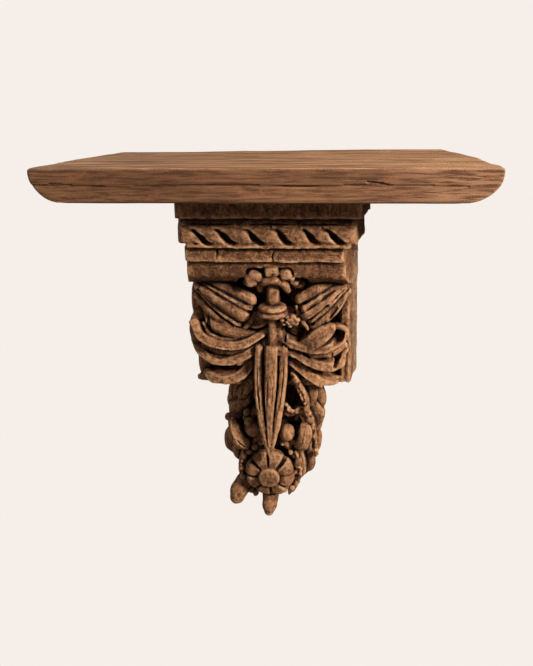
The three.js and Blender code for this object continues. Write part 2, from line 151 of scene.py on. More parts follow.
def soft_min(a, b, k):
    """The lower of two distances, with the crease between them filled over k."""
    if k <= 0:
        return np.minimum(a, b)
    h = np.maximum(k - np.abs(a - b), 0) / k
    return np.minimum(a, b) - h * h * (k / 4)


def soft_max(a, b, k):
    """The higher of two distances, with the edge between them rounded over k."""
    return -soft_min(-a, -b, k)


def smooth_line(points, per_span):
    """Points along a smooth curve through the given ones."""
    p = np.asarray(points, float)
    ends = np.vstack([2 * p[0] - p[1], p, 2 * p[-1] - p[-2]])
    t = (np.arange(per_span) / per_span)[:, None]
    spans = []
    for i in range(len(p) - 1):
        a, b, c, d = ends[i:i + 4]
        bend = 2 * a - 5 * b + 4 * c - d
        spans.append(0.5 * (2 * b + (c - a) * t + bend * t**2 + (3 * b - a - 3 * c + d) * t**3))
    return np.vstack([*spans, p[-1:]])


def eased(values, count):
    """Values given at even steps, eased to that many."""
    values = np.asarray(values, float)
    place = np.linspace(0, len(values) - 1, count)
    low = np.minimum(place.astype(int), len(values) - 2)
    part = place - low
    part = part * part * (3 - 2 * part)
    return values[low] + (values[low + 1] - values[low]) * part


def spline_weights(axis, cell):
    """Weights that spread random values, one to a cell, smoothly along an axis."""
    place = (axis - axis[0]) / cell
    base = place.astype(int)
    f = place - base
    weights = np.zeros((len(axis), base[-1] + 4), np.float32)
    shares = [(1 - f) ** 3, 3 * f**3 - 6 * f**2 + 4, -3 * f**3 + 3 * f**2 + 3 * f + 1, f**3]
    for k, share in enumerate(shares):
        weights[np.arange(len(axis)), base + k] = share / 6
    return weights


def ripple(axes, cells, seed):
    """Smooth random values with a spread of about 1 and that cell size along each axis."""
    weights = [spline_weights(axis, cell) for axis, cell in zip(axes, cells)]
    values = np.random.default_rng(seed).standard_normal([w.shape[1] for w in weights]).astype(np.float32)
    values = np.tensordot(weights[0], values, (1, 0))
    values = np.tensordot(values, weights[1], (1, 1))
    return np.tensordot(values, weights[2], (1, 1)) * 3


def blurred(values, radius):
    """The mean over a box, taken twice along each axis."""
    radius = max(int(round(radius)), 1)
    size = 2 * radius + 1
    for axis in (0, 1, 2):
        for _ in range(2):
            pad = [(0, 0)] * 3
            pad[axis] = (radius + 1, radius)
            total = np.cumsum(np.pad(values, pad, mode="edge"), axis=axis, dtype=np.float32)
            high = [slice(None)] * 3
            low = [slice(None)] * 3
            high[axis] = slice(size, None)
            low[axis] = slice(None, -size)
            values = (total[tuple(high)] - total[tuple(low)]) / size
    return values


def outline_distance(px, py, outline):
    """Signed distance to a closed outline, negative inside."""
    corners = np.asarray(outline, float)
    nearest = np.full(np.broadcast(px, py).shape, 1e9)
    inside = np.zeros(nearest.shape, bool)
    for (ax, ay), (bx, by) in zip(corners, np.roll(corners, -1, axis=0)):
        ex, ey = bx - ax, by - ay
        t = np.clip(((px - ax) * ex + (py - ay) * ey) / (ex * ex + ey * ey + 1e-12), 0, 1)
        nearest = np.minimum(nearest, (px - ax - t * ex) ** 2 + (py - ay - t * ey) ** 2)
        crosses = (ay > py) != (by > py)
        inside ^= crosses & (px < (bx - ax) * (py - ay) / (by - ay + 1e-12) + ax)
    return np.where(inside, -1, 1) * np.sqrt(nearest)


class Carving:
    """Wood as signed distances on a grid, negative inside."""

    def __init__(self, low, high, pitch):
        pad = 6 * pitch
        self.pitch = pitch
        self.axes = [np.arange(a - pad, b + pad, pitch) for a, b in zip(low, high)]
        self.d = np.full([len(a) for a in self.axes], FAR, np.float32)
        self.whole = tuple(slice(0, len(a)) for a in self.axes)

    def window(self, low, high):
        return tuple(slice(*np.searchsorted(a, (l, h))) for a, l, h in zip(self.axes, low, high))

    def coords(self, window):
        x, y, z = (a[s] for a, s in zip(self.axes, window))
        return x[:, None, None], y[None, :, None], z[None, None, :]

    def within(self, low, high):
        """The window between two corners, with its coordinates."""
        window = self.window(low, high)
        return window, *self.coords(window)

    def join(self, made, blend=0.0):
        window, d = made
        self.d[window] = soft_min(self.d[window], d, blend)

    def cut(self, made, blend=0.0):
        window, d = made
        self.d[window] = soft_max(self.d[window], -d, blend)

    def strand(self, points, widths, depths=None, out=OUTWARD, soft=1.0, keel=0.0, tilt=0.0, marks=0.0):
        """A carved strand along a curve: half widths across its face, half depths out of it.
        soft 1 rounds its section fully, keel raises a ridge along its middle, tilt leans its face,
        and marks is how deep the chisel's marks are that run along it."""
        line = smooth_line(points, SPAN_STEPS)
        w = eased(widths, len(line))
        h = w if depths is None else eased(depths, len(line))
        room = max(w.max(), h.max()) + FAR
        window = self.window(line.min(0) - room, line.max(0) + room)
        start = [s.start for s in window]
        d = np.full([s.stop - s.start for s in window], FAR, np.float32)
        out = np.asarray(out, float)
        for i, (a, b) in enumerate(zip(line[:-1], line[1:])):
            room = max(w[i], w[i + 1], h[i], h[i + 1]) + NEAR
            near, x, y, z = self.within(np.minimum(a, b) - room, np.maximum(a, b) + room)
            along = b - a
            length = max(np.linalg.norm(along), 1e-6)
            along = along / length
            face = out - out @ along * along
            face = face / max(np.linalg.norm(face), 1e-6)
            across = np.cross(along, face)
            px, py, pz = x - a[0], y - a[1], z - a[2]
            t = px * along[0] + py * along[1] + pz * along[2]
            share = np.clip(t / length, 0, 1)
            past = t - share * length
            u = px * across[0] + py * across[1] + pz * across[2]
            v = px * face[0] + py * face[1] + pz * face[2] + tilt * u
            scored = marks * np.cos(u * MARK_TURN + len(line) + w[0]) if marks else 0.0
            u = np.abs(u)
            half = w[i] + (w[i + 1] - w[i]) * share
            deep = h[i] + (h[i + 1] - h[i]) * share
            if keel:
                v = v + keel * (u - half * 0.5)
            v = np.abs(v)
            r = soft * np.minimum(half, deep)
            qu, qv = u - half + r, v - deep + r
            one = np.sqrt(np.maximum(qu, 0) ** 2 + np.maximum(qv, 0) ** 2 + past**2)
            one = one + np.minimum(np.maximum(qu, qv), 0) - r + scored
            part = tuple(slice(s.start - o, s.stop - o) for s, o in zip(near, start))
            d[part] = np.minimum(d[part], one)
        return window, d

    def egg(self, centre, radii):
        """An ellipsoid."""
        radii = np.asarray(radii, float)
        room = radii.max() + FAR
        window, x, y, z = self.within(centre - room, centre + room)
        p = [x - centre[0], y - centre[1], z - centre[2]]
        near = np.sqrt(sum((q / r) ** 2 for q, r in zip(p, radii)))
        far = np.sqrt(sum((q / r**2) ** 2 for q, r in zip(p, radii))) + 1e-6
        return window, near * (near - 1) / far

    def chunk(self, centre, sizes, turn=(0, 0, 0), soft=2.0):
        """A block with rounded edges, turned by angles about X, Y and Z."""
        half = np.asarray(sizes, float) / 2
        room = np.linalg.norm(half) + NEAR
        window, x, y, z = self.within(centre - room, centre + room)
        turn_x, turn_y, turn_z = (Matrix.Rotation(angle, 3, axis) for angle, axis in zip(turn, "XYZ"))
        spin = turn_z @ turn_y @ turn_x
        p = [x - centre[0], y - centre[1], z - centre[2]]
        q = [np.abs(sum(spin[k][i] * p[k] for k in range(3))) - half[i] + soft for i in range(3)]
        outer = np.sqrt(sum(np.maximum(a, 0) ** 2 for a in q))
        return window, outer + np.minimum(np.maximum(np.maximum(q[0], q[1]), q[2]), 0) - soft

    def turned(self, foot, head, outline, scallops=0, scallop_depth=0.0, phase=0.0):
        """A turned form: outline of (radius, height) pairs, heights in mm from foot towards head.
        Scallops are the petals round it, set off by grooves of that depth."""
        axis = head - foot
        axis = axis / np.linalg.norm(axis)
        side = np.cross(axis, (1, 0, 0))
        side = side / np.linalg.norm(side)
        other = np.cross(axis, side)
        outline = np.asarray(outline, float)
        room = np.abs(outline).max() + NEAR
        window, x, y, z = self.within(foot - room, foot + room)
        p = (x - foot[0], y - foot[1], z - foot[2])
        height = sum(a * b for a, b in zip(p, axis))
        u = sum(a * b for a, b in zip(p, side))
        v = sum(a * b for a, b in zip(p, other))
        radius = np.sqrt(u * u + v * v)
        if scallops:
            angle = np.arctan2(v, u) - phase
            radius = radius * (1 + scallop_depth * (1 - np.abs(np.cos(angle * scallops / 2)) ** 0.6))
        return window, outline_distance(radius, height, outline)

    def ring(self, centre, radius, thickness):
        """A ring round a vertical axis."""
        room = radius + thickness + NEAR
        window, x, y, z = self.within(centre - room, centre + room)
        away = np.sqrt((x - centre[0]) ** 2 + (y - centre[1]) ** 2) - radius
        return window, np.sqrt(away**2 + (z - centre[2]) ** 2) - thickness

    def solid(self):
        """How much of each cell is wood, from 0 to 1."""
        return np.clip(0.5 - self.d / (2 * self.pitch), 0, 1).astype(np.float32)

    def ripple(self, cells, seed):
        return ripple(self.axes, cells, seed)

    def wear(self, reach, most, amount, uneven, cells, seed):
        """Takes wood off the edges, in some places more than in others."""
        edge = np.clip(0.5 - blurred(self.solid(), reach / self.pitch), 0, most)
        self.d += edge * (1.0 + uneven * self.ripple(cells, seed)) * amount

    def mesh(self, name, most_faces):
        """The wood's surface as a mesh in metres, with how hollow and how worn each point is, which the
        finish reads for wear and for painted shade.
        """
        grid = openvdb.FloatGrid(FAR)
        grid.copyFromArray(np.clip(self.d / self.pitch, -3, 3).astype(np.float32))
        points, triangles, quads = grid.convertToPolygons(isovalue=0.0, adaptivity=0.0)
        origin = np.array([a[0] for a in self.axes])
        places = (points * self.pitch + origin) * MM
        data = bpy.data.meshes.new(name)
        data.from_pydata(places.tolist(), [], triangles.tolist() + quads.tolist())
        data.update()
        piece = bpy.data.objects.new(name, data)
        bpy.context.scene.collection.objects.link(piece)
        keep_largest(piece)
        faces = sum(len(p.vertices) - 2 for p in piece.data.polygons)
        if faces > most_faces:
            fewer = piece.modifiers.new("fewer", "DECIMATE")
            fewer.ratio = most_faces / faces
            bpy.context.view_layer.update()
            graph = bpy.context.evaluated_depsgraph_get()
            piece.data = bpy.data.meshes.new_from_object(piece.evaluated_get(graph))
            piece.modifiers.clear()
            piece.data.name = name
        piece.data.polygons.foreach_set("use_smooth", np.ones(len(piece.data.polygons), bool))
        self.paint(piece)
        return piece

    def paint(self, piece):
        """Stores how hollow and how worn the wood is at each point, from what surrounds it, for the finish's
        wear, dust, painted highlights and painted shade.
        """
        solid = self.solid()
        spots = np.empty(len(piece.data.vertices) * 3, np.float32)
        piece.data.vertices.foreach_get("co", spots)
        spots = spots.reshape(-1, 3) / MM
        for label, reach in LAYER_REACH.items():
            values = self.sample(blurred(solid, reach / self.pitch), spots)
            layer = piece.data.attributes.new(label, "FLOAT", "POINT")
            layer.data.foreach_set("value", values.astype(np.float32))

    def sample(self, values, spots):
        """Values of the grid at places between its points."""
        place = [(spots[:, i] - self.axes[i][0]) / self.pitch for i in range(3)]
        base = [np.clip(p.astype(int), 0, n - 2) for p, n in zip(place, values.shape)]
        part = [p - b for p, b in zip(place, base)]
        total = 0
        for corner in np.ndindex(2, 2, 2):
            share = 1
            for c, f in zip(corner, part):
                share = share * (f if c else 1 - f)
            total = total + share * values[tuple(b + c for b, c in zip(base, corner))]
        return total


def keep_largest(piece):
    """Deletes loose crumbs, so that a piece stays one shell."""
    data = piece.data
    links = np.empty(len(data.edges) * 2, np.int64)
    data.edges.foreach_get("vertices", links)
    links = links.reshape(-1, 2)
    group = np.arange(len(data.vertices))
    while True:
        low = np.minimum(group[links[:, 0]], group[links[:, 1]])
        before = group.copy()
        np.minimum.at(group, links[:, 0], low)
        np.minimum.at(group, links[:, 1], low)
        group = group[group]
        if np.array_equal(before, group):
            break
    names, sizes = np.unique(group, return_counts=True)
    if len(names) == 1:
        return
    kept = group == names[np.argmax(sizes)]
    spots = np.empty(len(data.vertices) * 3, np.float32)
    data.vertices.foreach_get("co", spots)
    spots = spots.reshape(-1, 3)
    number = np.cumsum(kept) - 1
    faces = [tuple(int(number[v]) for v in p.vertices) for p in data.polygons if kept[p.vertices[0]]]
    data.clear_geometry()
    data.from_pydata(spots[kept].tolist(), [], faces)
    data.update()


# The corbel

corbel = Carving(block_low - 2, block_high, PITCH)
tenths = [i / 10 for i in range(11)]


def layer_between(top_drop, bottom_drop, front):
    """The window over one layer of the block, with its coordinates."""
    low = np.array([-back_half_width - FAR, -front - FAR, block_top - bottom_drop - FAR])
    high = np.array([back_half_width + FAR, FAR, block_top - top_drop + FAR])
    return corbel.within(low, high)


def from_above(plan, x, y):
    """Distance to a plan of the block, whose points are across and out from the wall."""
    return outline_distance(x[:, :, 0], -y[:, :, 0], plan)[:, :, None]


def course(top_drop, bottom_drop, profile, left, right, left_ear=0.0, right_cut=0.0):
    """One course of the block: its plan from above, cut to a front profile of (reach, drop) points.
    The ear stands out at its left front corner, and its right one is cut back."""
    front = max(reach for reach, drop in profile)
    spread = shoulder_spread * (front - shoulder_reach) / shoulder_set_back
    plan = [
        (-left - spread, -BEHIND_WALL), (right + spread, -BEHIND_WALL), (right + spread, shoulder_reach),
        (right - right_cut, front), (-left, front), (-left - left_ear, front - 1.7 * left_ear - 0.1),
        (-max(left + spread, left + left_ear), shoulder_reach),
    ]
    side = [(-BEHIND_WALL, top_drop), *profile, (-BEHIND_WALL, bottom_drop)]
    window, x, y, z = layer_between(top_drop, bottom_drop, front)
    beside = outline_distance(-y[0], block_top - z[0], side)[None]
    return window, soft_max(from_above(plan, x, y), beside, EDGE_SOFTNESS)


def plumb(reach, top_drop, bottom_drop):
    """An upright front profile."""
    return [(reach, top_drop), (reach, bottom_drop)]


def mouldings():
    abacus = plumb(abacus_reach, 0, notch_top)
    corbel.join(course(0, notch_top, abacus, abacus_half_width + 1.6, abacus_half_width))
    # The notch runs on behind the abacus and the roll, so that no slit is left between them
    top, bottom = notch_top - 2, rope_top + 3
    notch = plumb(notch_reach, top, bottom)
    corbel.join(course(top, bottom, notch, rope_half_width + 4, rope_half_width + 2, 4.5))
    ledge_height = 4.6
    ledge_top = band_top - ledge_height
    roll_top = rope_top + 1.6
    roll = []
    for share in tenths:
        swell = math.sin(math.pi * min(max(share, 0.02), 0.98)) ** 0.55
        roll.append((rope_reach + 0.8 - 5.0 * (1 - swell), roll_top + (ledge_top - roll_top) * share))
    corbel.join(course(roll_top, ledge_top + 1, roll, rope_half_width + 3.5, rope_half_width + 1, 5.5))
    ledge = plumb(rope_reach - 2.4, ledge_top, band_top)
    corbel.join(course(ledge_top, band_top, ledge, rope_half_width - 0.5, rope_half_width - 4))
    right = rope_half_width - 4.6
    band = [(band_reach - 1.0, band_top), (band_reach + 0.8, cove_top)]
    corbel.join(course(band_top, cove_top, band, rope_half_width + 2.6, right, 0, rough_corner_cut - 4))
    cove = [(band_reach - 3.0, cove_top)]
    for share in tenths:
        curl = (cove_depth - 2) * max(share - 0.5, 0) ** 1.6 * 3.03
        cove.append((band_reach - 4.4 - 5.0 * share - curl, cove_top + 1 + (cove_height + 8) * share))
    cove_foot = moulding_height + 9
    corbel.join(course(cove_top, cove_foot, cove, rope_half_width + 2.2, right, 0, rough_corner_cut - 5), 1.0)
    # Pads of wood under the cove, and the dark pocket between them over the stem
    for x, wide in ((-62, 40), (65, 36)):
        corbel.join(corbel.chunk(at(x, moulding_height + 7.5, 98), (wide, 48, 26), (0.25, 0, 0), 6), 6)
    corbel.cut(corbel.chunk(at(-2.5, 89, 132), (52, 62, 25), (0, 0, 0), 6), 1.5)
    arch = [(-36, 12), (-27, 2), (0, -5), (27, 2), (38, 12)]
    points = [at(x, moulding_height + drop, 116) for x, drop in arch]
    corbel.cut(corbel.strand(points, [6, 7.5, 9, 7.5, 6], [24] * 5, soft=0.8), 1.5)
    # The stepped right corner, where the mouldings' ends are broken back
    for drop, reach, x, size in ((41, 146, 89, 7), (60, 141, 84, 9), (77, 128, 84, 8)):
        spot = at(x + 8, drop, reach + 12)
        corbel.cut(corbel.chunk(spot, (size * 2, size * 2, size * 1.4), (0.2, 0.3, 0.7), 1), 1.5)


# The gouges that make the roll look like a rope, each from its upper left to its lower right, then
# checks over the roll, steps in the ledge below it, gaps along the notch and checks in the band.
# All are places in mm, across and down, and the steps are across alone.
rope_gouges = [
    [(-84, 32.6), (-77.4, 35.0), (-71.4, 41.4), (-66, 47.2), (-57, 49.6)],
    [(-61, 32.2), (-53.4, 34.4), (-47, 41.0), (-41, 47.0), (-29.6, 49.4)],
    [(-28.6, 32.2), (-21.6, 34.6), (-16.6, 41.0), (-10.6, 47.0), (-0.6, 49.2)],
    [(1.4, 31.4), (8.4, 34.2), (13.4, 41.0), (18.2, 46.6), (26.6, 48.6)],
    [(31.4, 32.0), (37.6, 34.6), (42.6, 41.0), (47, 46.6), (55.2, 48.6)],
    [(54, 31.8), (61, 34.2), (66.8, 40.6), (72, 45.4), (81.4, 47.8)],
]
rope_checks = [(-61.5, 27.5), (1.2, 27.2), (29.4, 27), (53.7, 27)]
rope_steps = [-65, -45, -18, 13.5, 39.7, 66]
notch_gaps = [
    [(-84, 27.6), (-58, 28.4), (-40, 27.8)], [(-28, 28.6), (2, 27.8), (20, 28.4)], [(34, 28.2), (70, 27.8)],
]
band_checks = [
    [(-55.3, 54), (-56.8, 60), (-56.6, 65), (-54.8, 71)],
    [(5.2, 53), (3.6, 58), (1.8, 63), (2.6, 67), (1.5, 72)],
]


def slit(path, reach, widths, depths, blend):
    """A narrow crack along a path of places across and down."""
    points = [at(x, drop, reach) for x, drop in path]
    corbel.cut(corbel.strand(points, widths, depths, soft=0.4), blend)


def rope():
    for path in rope_gouges:
        points = [at(x, drop, rope_reach + 1.6) for x, drop in path]
        widths, depths = [0.8, 1.9, 3.7, 3.8, 1.3], [2.8, 6.0, 10.0, 9.0, 3.4]
        corbel.cut(corbel.strand(points, widths, depths, soft=0.9), 1.4)
        # The lobe above it on the right is rounded off, and so is the one below it on the left
        above = [at(x + 3.4, drop - 4.4, rope_reach + 3.2) for x, drop in path[1:]]
        corbel.cut(corbel.strand(above, [1.4, 3.0, 3.0, 1.4], [1.8, 2.8, 2.8, 1.6]), 2.4)
        below = [at(x - 5.5, drop + 2.0, rope_reach + 3.2) for x, drop in path[1:4]]
        corbel.cut(corbel.strand(below, [1.6, 3.0, 1.8], [1.6, 2.4, 1.6]), 2.4)
    for path in notch_gaps:
        slit(path, notch_reach, [0.5, 0.95, 0.5], [2.6, 3.4, 2.6], 0.5)
    for x, drop in rope_checks:
        path = [(x, drop - 3), (x + 0.6, drop + 3), (x + 2.4, drop + 7)]
        slit(path, rope_reach, [0.9, 0.8, 0.4], [5, 4, 1.5], 0.6)
    for x in rope_steps:
        slit([(x, 48), (x + 0.5, 53.5)], rope_reach, [0.8, 0.6], [3.2, 3.2], 0.6)
    for path in band_checks:
        slit(path, band_reach - 0.2, [0.5, 0.75, 0.5], [2.4, 3.0, 2.4], 0.5)


def panel_bed():
    shoulder = panel_half_width + margin_width
    margin_reach = panel_front - margin_width
    bed = ground_reach + hollow_depth - 6
    plan = [
        (shoulder, -BEHIND_WALL), (shoulder, shoulder_reach), (panel_half_width + 3, margin_reach),
        (panel_half_width - 5, margin_reach), (panel_half_width - margin_width, bed),
        (hollow_half_width + margin_width, bed), (hollow_half_width, ground_reach - 8),
        (-hollow_half_width, ground_reach - 8), (-hollow_half_width - margin_width, bed),
        (-panel_half_width, bed + 4), (-panel_half_width - 7, bed), (-shoulder - 1, shoulder_reach - 14),
        (-shoulder - 1, -BEHIND_WALL),
    ]
    window, x, y, z = layer_between(moulding_height, block_height, margin_reach)
    beside = np.maximum(block_top - block_height - z, z - block_top + moulding_height - 2)
    corbel.join((window, soft_max(from_above(plan, x, y), beside, EDGE_SOFTNESS)))
    # The solid wood under the lowest leaves, down to the block's flat underside
    for side, end, down in ((-1, 100, 94.2), (1, 92, 93.6)):
        foot = [(side * 12, down, 88), (side * 50, down, 90), (side * end, down + 0.4, 66)]
        points = [on_panel(*p) + behind(22) for p in foot]
        corbel.join(corbel.strand(points, [3.6, 3.8, 3.8], [24] * 3, soft=0.4), 1)
    # The lower right corner, broken off askew
    for centre, sizes, turn in (
        ((shoulder - 1, block_height - 2, 60), (8, 140, 14), (0, 0.25, 0)),
        ((shoulder - 7, block_height + 1, 60), (14, 140, 7), (0, 0.1, 0)),
    ):
        corbel.cut(corbel.chunk(at(*centre), sizes, turn, 1.0), 1.0)


def trim_underside():
    """Cuts the leaves off at the block's underside, which rises a little towards its worn front."""
    for x, width in ((-84, 78), (92, 76)):
        corbel.cut(corbel.chunk(at(x, block_height + 12.4, 70), (width, 190, 16), (-0.17, 0, 0), 0.5), 0.8)


def leaf(points, widths, thickness=26.0, soft=0.6, keel=0.0, tilt=0.0, blend=0.6):
    """A carved leaf's strand: its points are on its face, and it is carved down from there."""
    half = thickness / 2
    spots = [on_panel(*p) + behind(half) for p in points]
    made = corbel.strand(spots, widths, [half] * len(widths), soft=soft, keel=keel, tilt=tilt, marks=0.16)
    corbel.join(made, blend)


def rod(points, widths, blend=0.8):
    """A round strand whose points are on its face."""
    spots = [on_panel(*p) + behind(r) for p, r in zip(points, eased(widths, len(points)))]
    corbel.join(corbel.strand(spots, widths, marks=0.08), blend)


def groove(points, widths, depths, place=on_panel, blend=0.8, soft=0.6):
    """A groove along points of the leaf panel, or of the pendant."""
    corbel.cut(corbel.strand([place(*p) for p in points], widths, depths, soft=soft), blend)


def buds():
    cores = [[(-42, 33, 78), (-68, 23, 76), (-104, 11, 54)], [(52, 31, 78), (74, 21, 76), (100, 9, 56)]]
    for points in cores:
        corbel.join(corbel.strand([on_panel(*p) for p in points], [14, 15, 7], [11, 11, 7], soft=0.8), 1)
    # Ribs of the left bud and then of the right one
    for points, widths in (
        ([(-42.6, 32.4, 112), (-69.3, 22.4, 110), (-104, 11.4, 82)], [10.2, 9.4, 6.0]),
        ([(-31.4, 21.4, 102), (-61.3, 12, 100), (-96, 4.4, 82)], [7.8, 7.4, 5.0]),
        ([(-50.4, 46.0, 101), (-80.2, 33.8, 97), (-107, 20.4, 76)], [6.6, 7.4, 5.0]),
        ([(-33.8, 26.6, 109), (-64.9, 16.6, 104), (-101, 7.2, 77)], [2.4, 2.4, 1.6]),
        ([(-48.6, 41.0, 108), (-75.4, 30.0, 101), (-106.4, 15.0, 75)], [2.2, 2.2, 1.5]),
        ([(50.4, 31.0, 112), (75.3, 19.8, 109), (100, 9.2, 84)], [9.0, 8.8, 5.4]),
        ([(41.0, 20.2, 102), (66.3, 10.6, 100), (90, 3.6, 82)], [7.4, 7.0, 4.4]),
        ([(60.4, 42.6, 101), (80.6, 30.4, 98), (104, 14.2, 80)], [7.4, 8.2, 4.4]),
        ([(45.0, 25.6, 109), (69.9, 15.4, 104), (95.2, 6.0, 76)], [2.4, 2.4, 1.6]),
        ([(56.0, 37.2, 108), (78.4, 25.2, 102), (103.4, 10.8, 76)], [2.2, 2.2, 1.5]),
    ):
        rod(points, widths, 0.15)
    # Creases between the ribs, which open out at the bud's mouth
    for points in (
        [(-31.6, 24.0, 108), (-63, 14.2, 106), (-99, 5.4, 80)],
        [(-36, 29.0, 113), (-66.4, 18.4, 110), (-102, 8.4, 80)],
        [(-46.6, 38.8, 113), (-74, 27.4, 108), (-105.6, 13.2, 78)],
        [(-50.2, 43.8, 108), (-77, 32.4, 101), (-106.8, 17, 76)],
        [(42.6, 22.8, 108), (68, 13.2, 106), (93, 4.8, 80)],
        [(46.8, 28.4, 113), (71.8, 17.6, 110), (98, 7, 80)],
        [(54.0, 35.4, 113), (77.4, 23.0, 108), (102.6, 9.6, 80)],
        [(57.8, 40.0, 108), (79.4, 28.0, 102), (104.2, 12.2, 78)],
    ):
        side = math.copysign(1, points[0][0])
        x, down, lift = points[0]
        points = [(x - 9 * side, down + 3.4, lift - 14)] + points
        groove(points, [1.8, 0.9, 0.6, 0.4], [13, 6, 3.8, 2.6], blend=1.1, soft=0.5)
    for points in (
        [(66, 42.4, 104), (82, 32.6, 98), (98, 20, 86)], [(63, 45.6, 102), (80, 35.6, 95), (96, 24, 84)],
        [(70, 38.0, 105), (84, 29.0, 99), (99, 17, 87)],
    ):
        groove(points, [0.4, 0.7, 0.3], [2.4, 2.6, 1.6], blend=0.4, soft=0.3)
    leaf([(-24, 33.6, 94), (-33, 41.6, 99), (-44, 49.0, 92)], [1.2, 2.6, 1.2], 14)
    leaf([(33.6, 27, 92), (40, 36.4, 99), (49, 45.6, 95)], [1.2, 2.4, 1.2], 14)


def leaves_left():
    lean = 0.42
    leaf([(-8, 48.4, 92), (-24.2, 54.2, 104), (-41.2, 58.2, 113), (-60.2, 58.8, 118), (-80.1, 57, 115),
          (-97.6, 52.6, 103), (-107, 46, 84)], [2.8, 3.6, 4.2, 4.4, 4.4, 4.4, 4.2], soft=0.2, tilt=lean)
    leaf([(-32, 52.0, 90), (-49.3, 49.9, 104), (-64.6, 47.0, 109), (-78.1, 43.6, 101), (-86, 40.4, 80)],
         [3.6, 6.6, 7.6, 6.6, 4], soft=0.8, keel=0.2)
    leaf([(-14.9, 59.4, 88), (-26.5, 65.0, 100), (-41.9, 70.2, 110), (-61.1, 73.2, 114), (-81.3, 72.6, 110),
          (-97.2, 68, 94), (-107, 61.8, 74)], [2.8, 3.6, 4.2, 4.4, 4.4, 4.4, 4.2], soft=0.2, tilt=lean)
    leaf([(-34.7, 64.4, 90), (-53.1, 64.9, 104), (-70.7, 64.5, 106), (-92, 62.7, 90)],
         [2.2, 5.4, 6.4, 4.2], soft=0.8, keel=0.1)
    leaf([(-14, 62, 80), (-22, 68.6, 88), (-31, 78.0, 96), (-44, 87.2, 104), (-63, 91.6, 108),
          (-78, 92, 100), (-89, 89.6, 84)], [2.8, 3.8, 4.6, 5.4, 5.2, 4.6, 3.2], soft=0.2, tilt=lean)
    leaf([(-50, 54.4, 104), (-66, 54.4, 108), (-84, 51.4, 100), (-95, 45, 86)],
         [1.0, 2.2, 2.2, 1.6], 20, soft=0.3)
    leaf([(-26, 69.6, 84), (-38, 76.6, 90), (-50, 79.6, 92)], [1.4, 2.2, 1.4], 20, soft=0.3)
    leaf([(-106, 4, 50), (-110, 16, 58), (-110.5, 28, 58), (-109.5, 38, 56)],
         [4.6, 5.6, 5.6, 4.6], 44, soft=0.8)
    leaf([(-108, 40, 60), (-111, 48.7, 76), (-108.5, 57.4, 80), (-104, 67.9, 70)],
         [5.4, 6.6, 6.8, 5.4], 44, soft=0.8)
    leaf([(-101, 70, 62), (-100.5, 82, 66), (-98, 96, 66)], [5.4, 6, 6.4], 44, soft=0.7)
    groove([(-90, 35, 110), (-88.4, 43, 112), (-84, 49.4, 114)], [1.6, 2.2, 1.4], [14, 14, 9])
    groove([(-88, 68.4, 108), (-74, 70.6, 112), (-58, 69.6, 112)], [0.9, 1.1, 0.6], [4, 5, 4])


def leaves_right():
    lean = -0.42
    leaf([(12.2, 52.5, 92), (23.5, 57.0, 104), (39.7, 59.8, 113), (57.3, 61.4, 118), (74.6, 60.6, 115),
          (91.9, 57, 106), (101.6, 51.7, 96), (99.5, 46.6, 90), (91, 45.0, 86), (82, 48.0, 80)],
         [2.6, 3.4, 4.0, 4.2, 4.0, 3.4, 3.0, 2.8, 2.6, 2.2], soft=0.2, tilt=lean / 2)
    leaf([(20, 59.4, 90), (34, 62.0, 96), (48, 64.4, 100)], [1.2, 1.8, 1.2], 20, soft=0.3)
    leaf([(30, 69, 86), (44, 75.4, 93), (58, 81.0, 96)], [1.4, 2.2, 1.4], 20, soft=0.3)
    leaf([(37, 64.6, 92), (49, 58.6, 112), (64, 50.8, 119), (79, 44.6, 106)], [4, 8.4, 9.0, 5.4],
         soft=0.35, keel=-0.06, tilt=-0.15)
    leaf([(10.6, 43, 98), (10.6, 50.5, 104), (14.2, 56.8, 98)], [2.8, 3.8, 2.8], 20)
    leaf([(8.4, 57.4, 88), (23.3, 63.4, 102), (41.3, 69.1, 111), (59.1, 73.9, 115), (78.4, 76.9, 111),
          (93.2, 75.2, 102), (98.8, 69.9, 88)], [2.6, 3.6, 4.2, 4.4, 4.2, 3.6, 3.0], soft=0.2, tilt=lean)
    leaf([(45, 69, 98), (62, 65.5, 111), (79.8, 64.2, 108), (94, 62, 92)], [3.6, 6.6, 6.8, 4.2],
         soft=0.7, keel=0.08)
    leaf([(14, 64.4, 84), (28.4, 74.0, 98), (44.8, 81.6, 107), (59.1, 88, 109), (71, 93, 104), (84, 95, 90)],
         [3.0, 4.2, 4.8, 5.0, 4.4, 3.6], soft=0.2, tilt=lean)
    leaf([(16, 72, 82), (27, 82.6, 93), (37, 94, 96), (45, 108, 88)], [1.8, 2.8, 3.0, 2.2], 22, keel=0.3)
    leaf([(99, 6, 54), (103, 24, 66), (102, 40, 68)], [5, 6.6, 5], 44, soft=0.7)
    leaf([(104, 44, 66), (104, 60, 70), (103, 80, 68), (101, 94, 64)], [4.8, 5.6, 6.2, 6.4], 44, soft=0.7)
    groove([(17.9, 47, 96), (18.8, 56, 96)], [1.0, 1.2], [12, 12])
    groove([(45.5, 66.0, 112), (53.5, 69.6, 112)], [2.6, 0.9], [8, 8])
    groove([(90.6, 72.4, 100), (87, 77.4, 100)], [2.8, 2.4], [16, 16])
    groove([(83.5, 64.6, 112), (83.5, 69.5, 112)], [1.1, 1.3], [6, 6])
    groove([(31, 85, 92), (40.1, 98.9, 90)], [1.6, 2.2], [12, 14])
    corbel.cut(corbel.strand([on_panel(93.4, 52.2, 98), on_panel(89.4, 54.4, 96)], [4.8, 4.2], [18, 18]), 1)


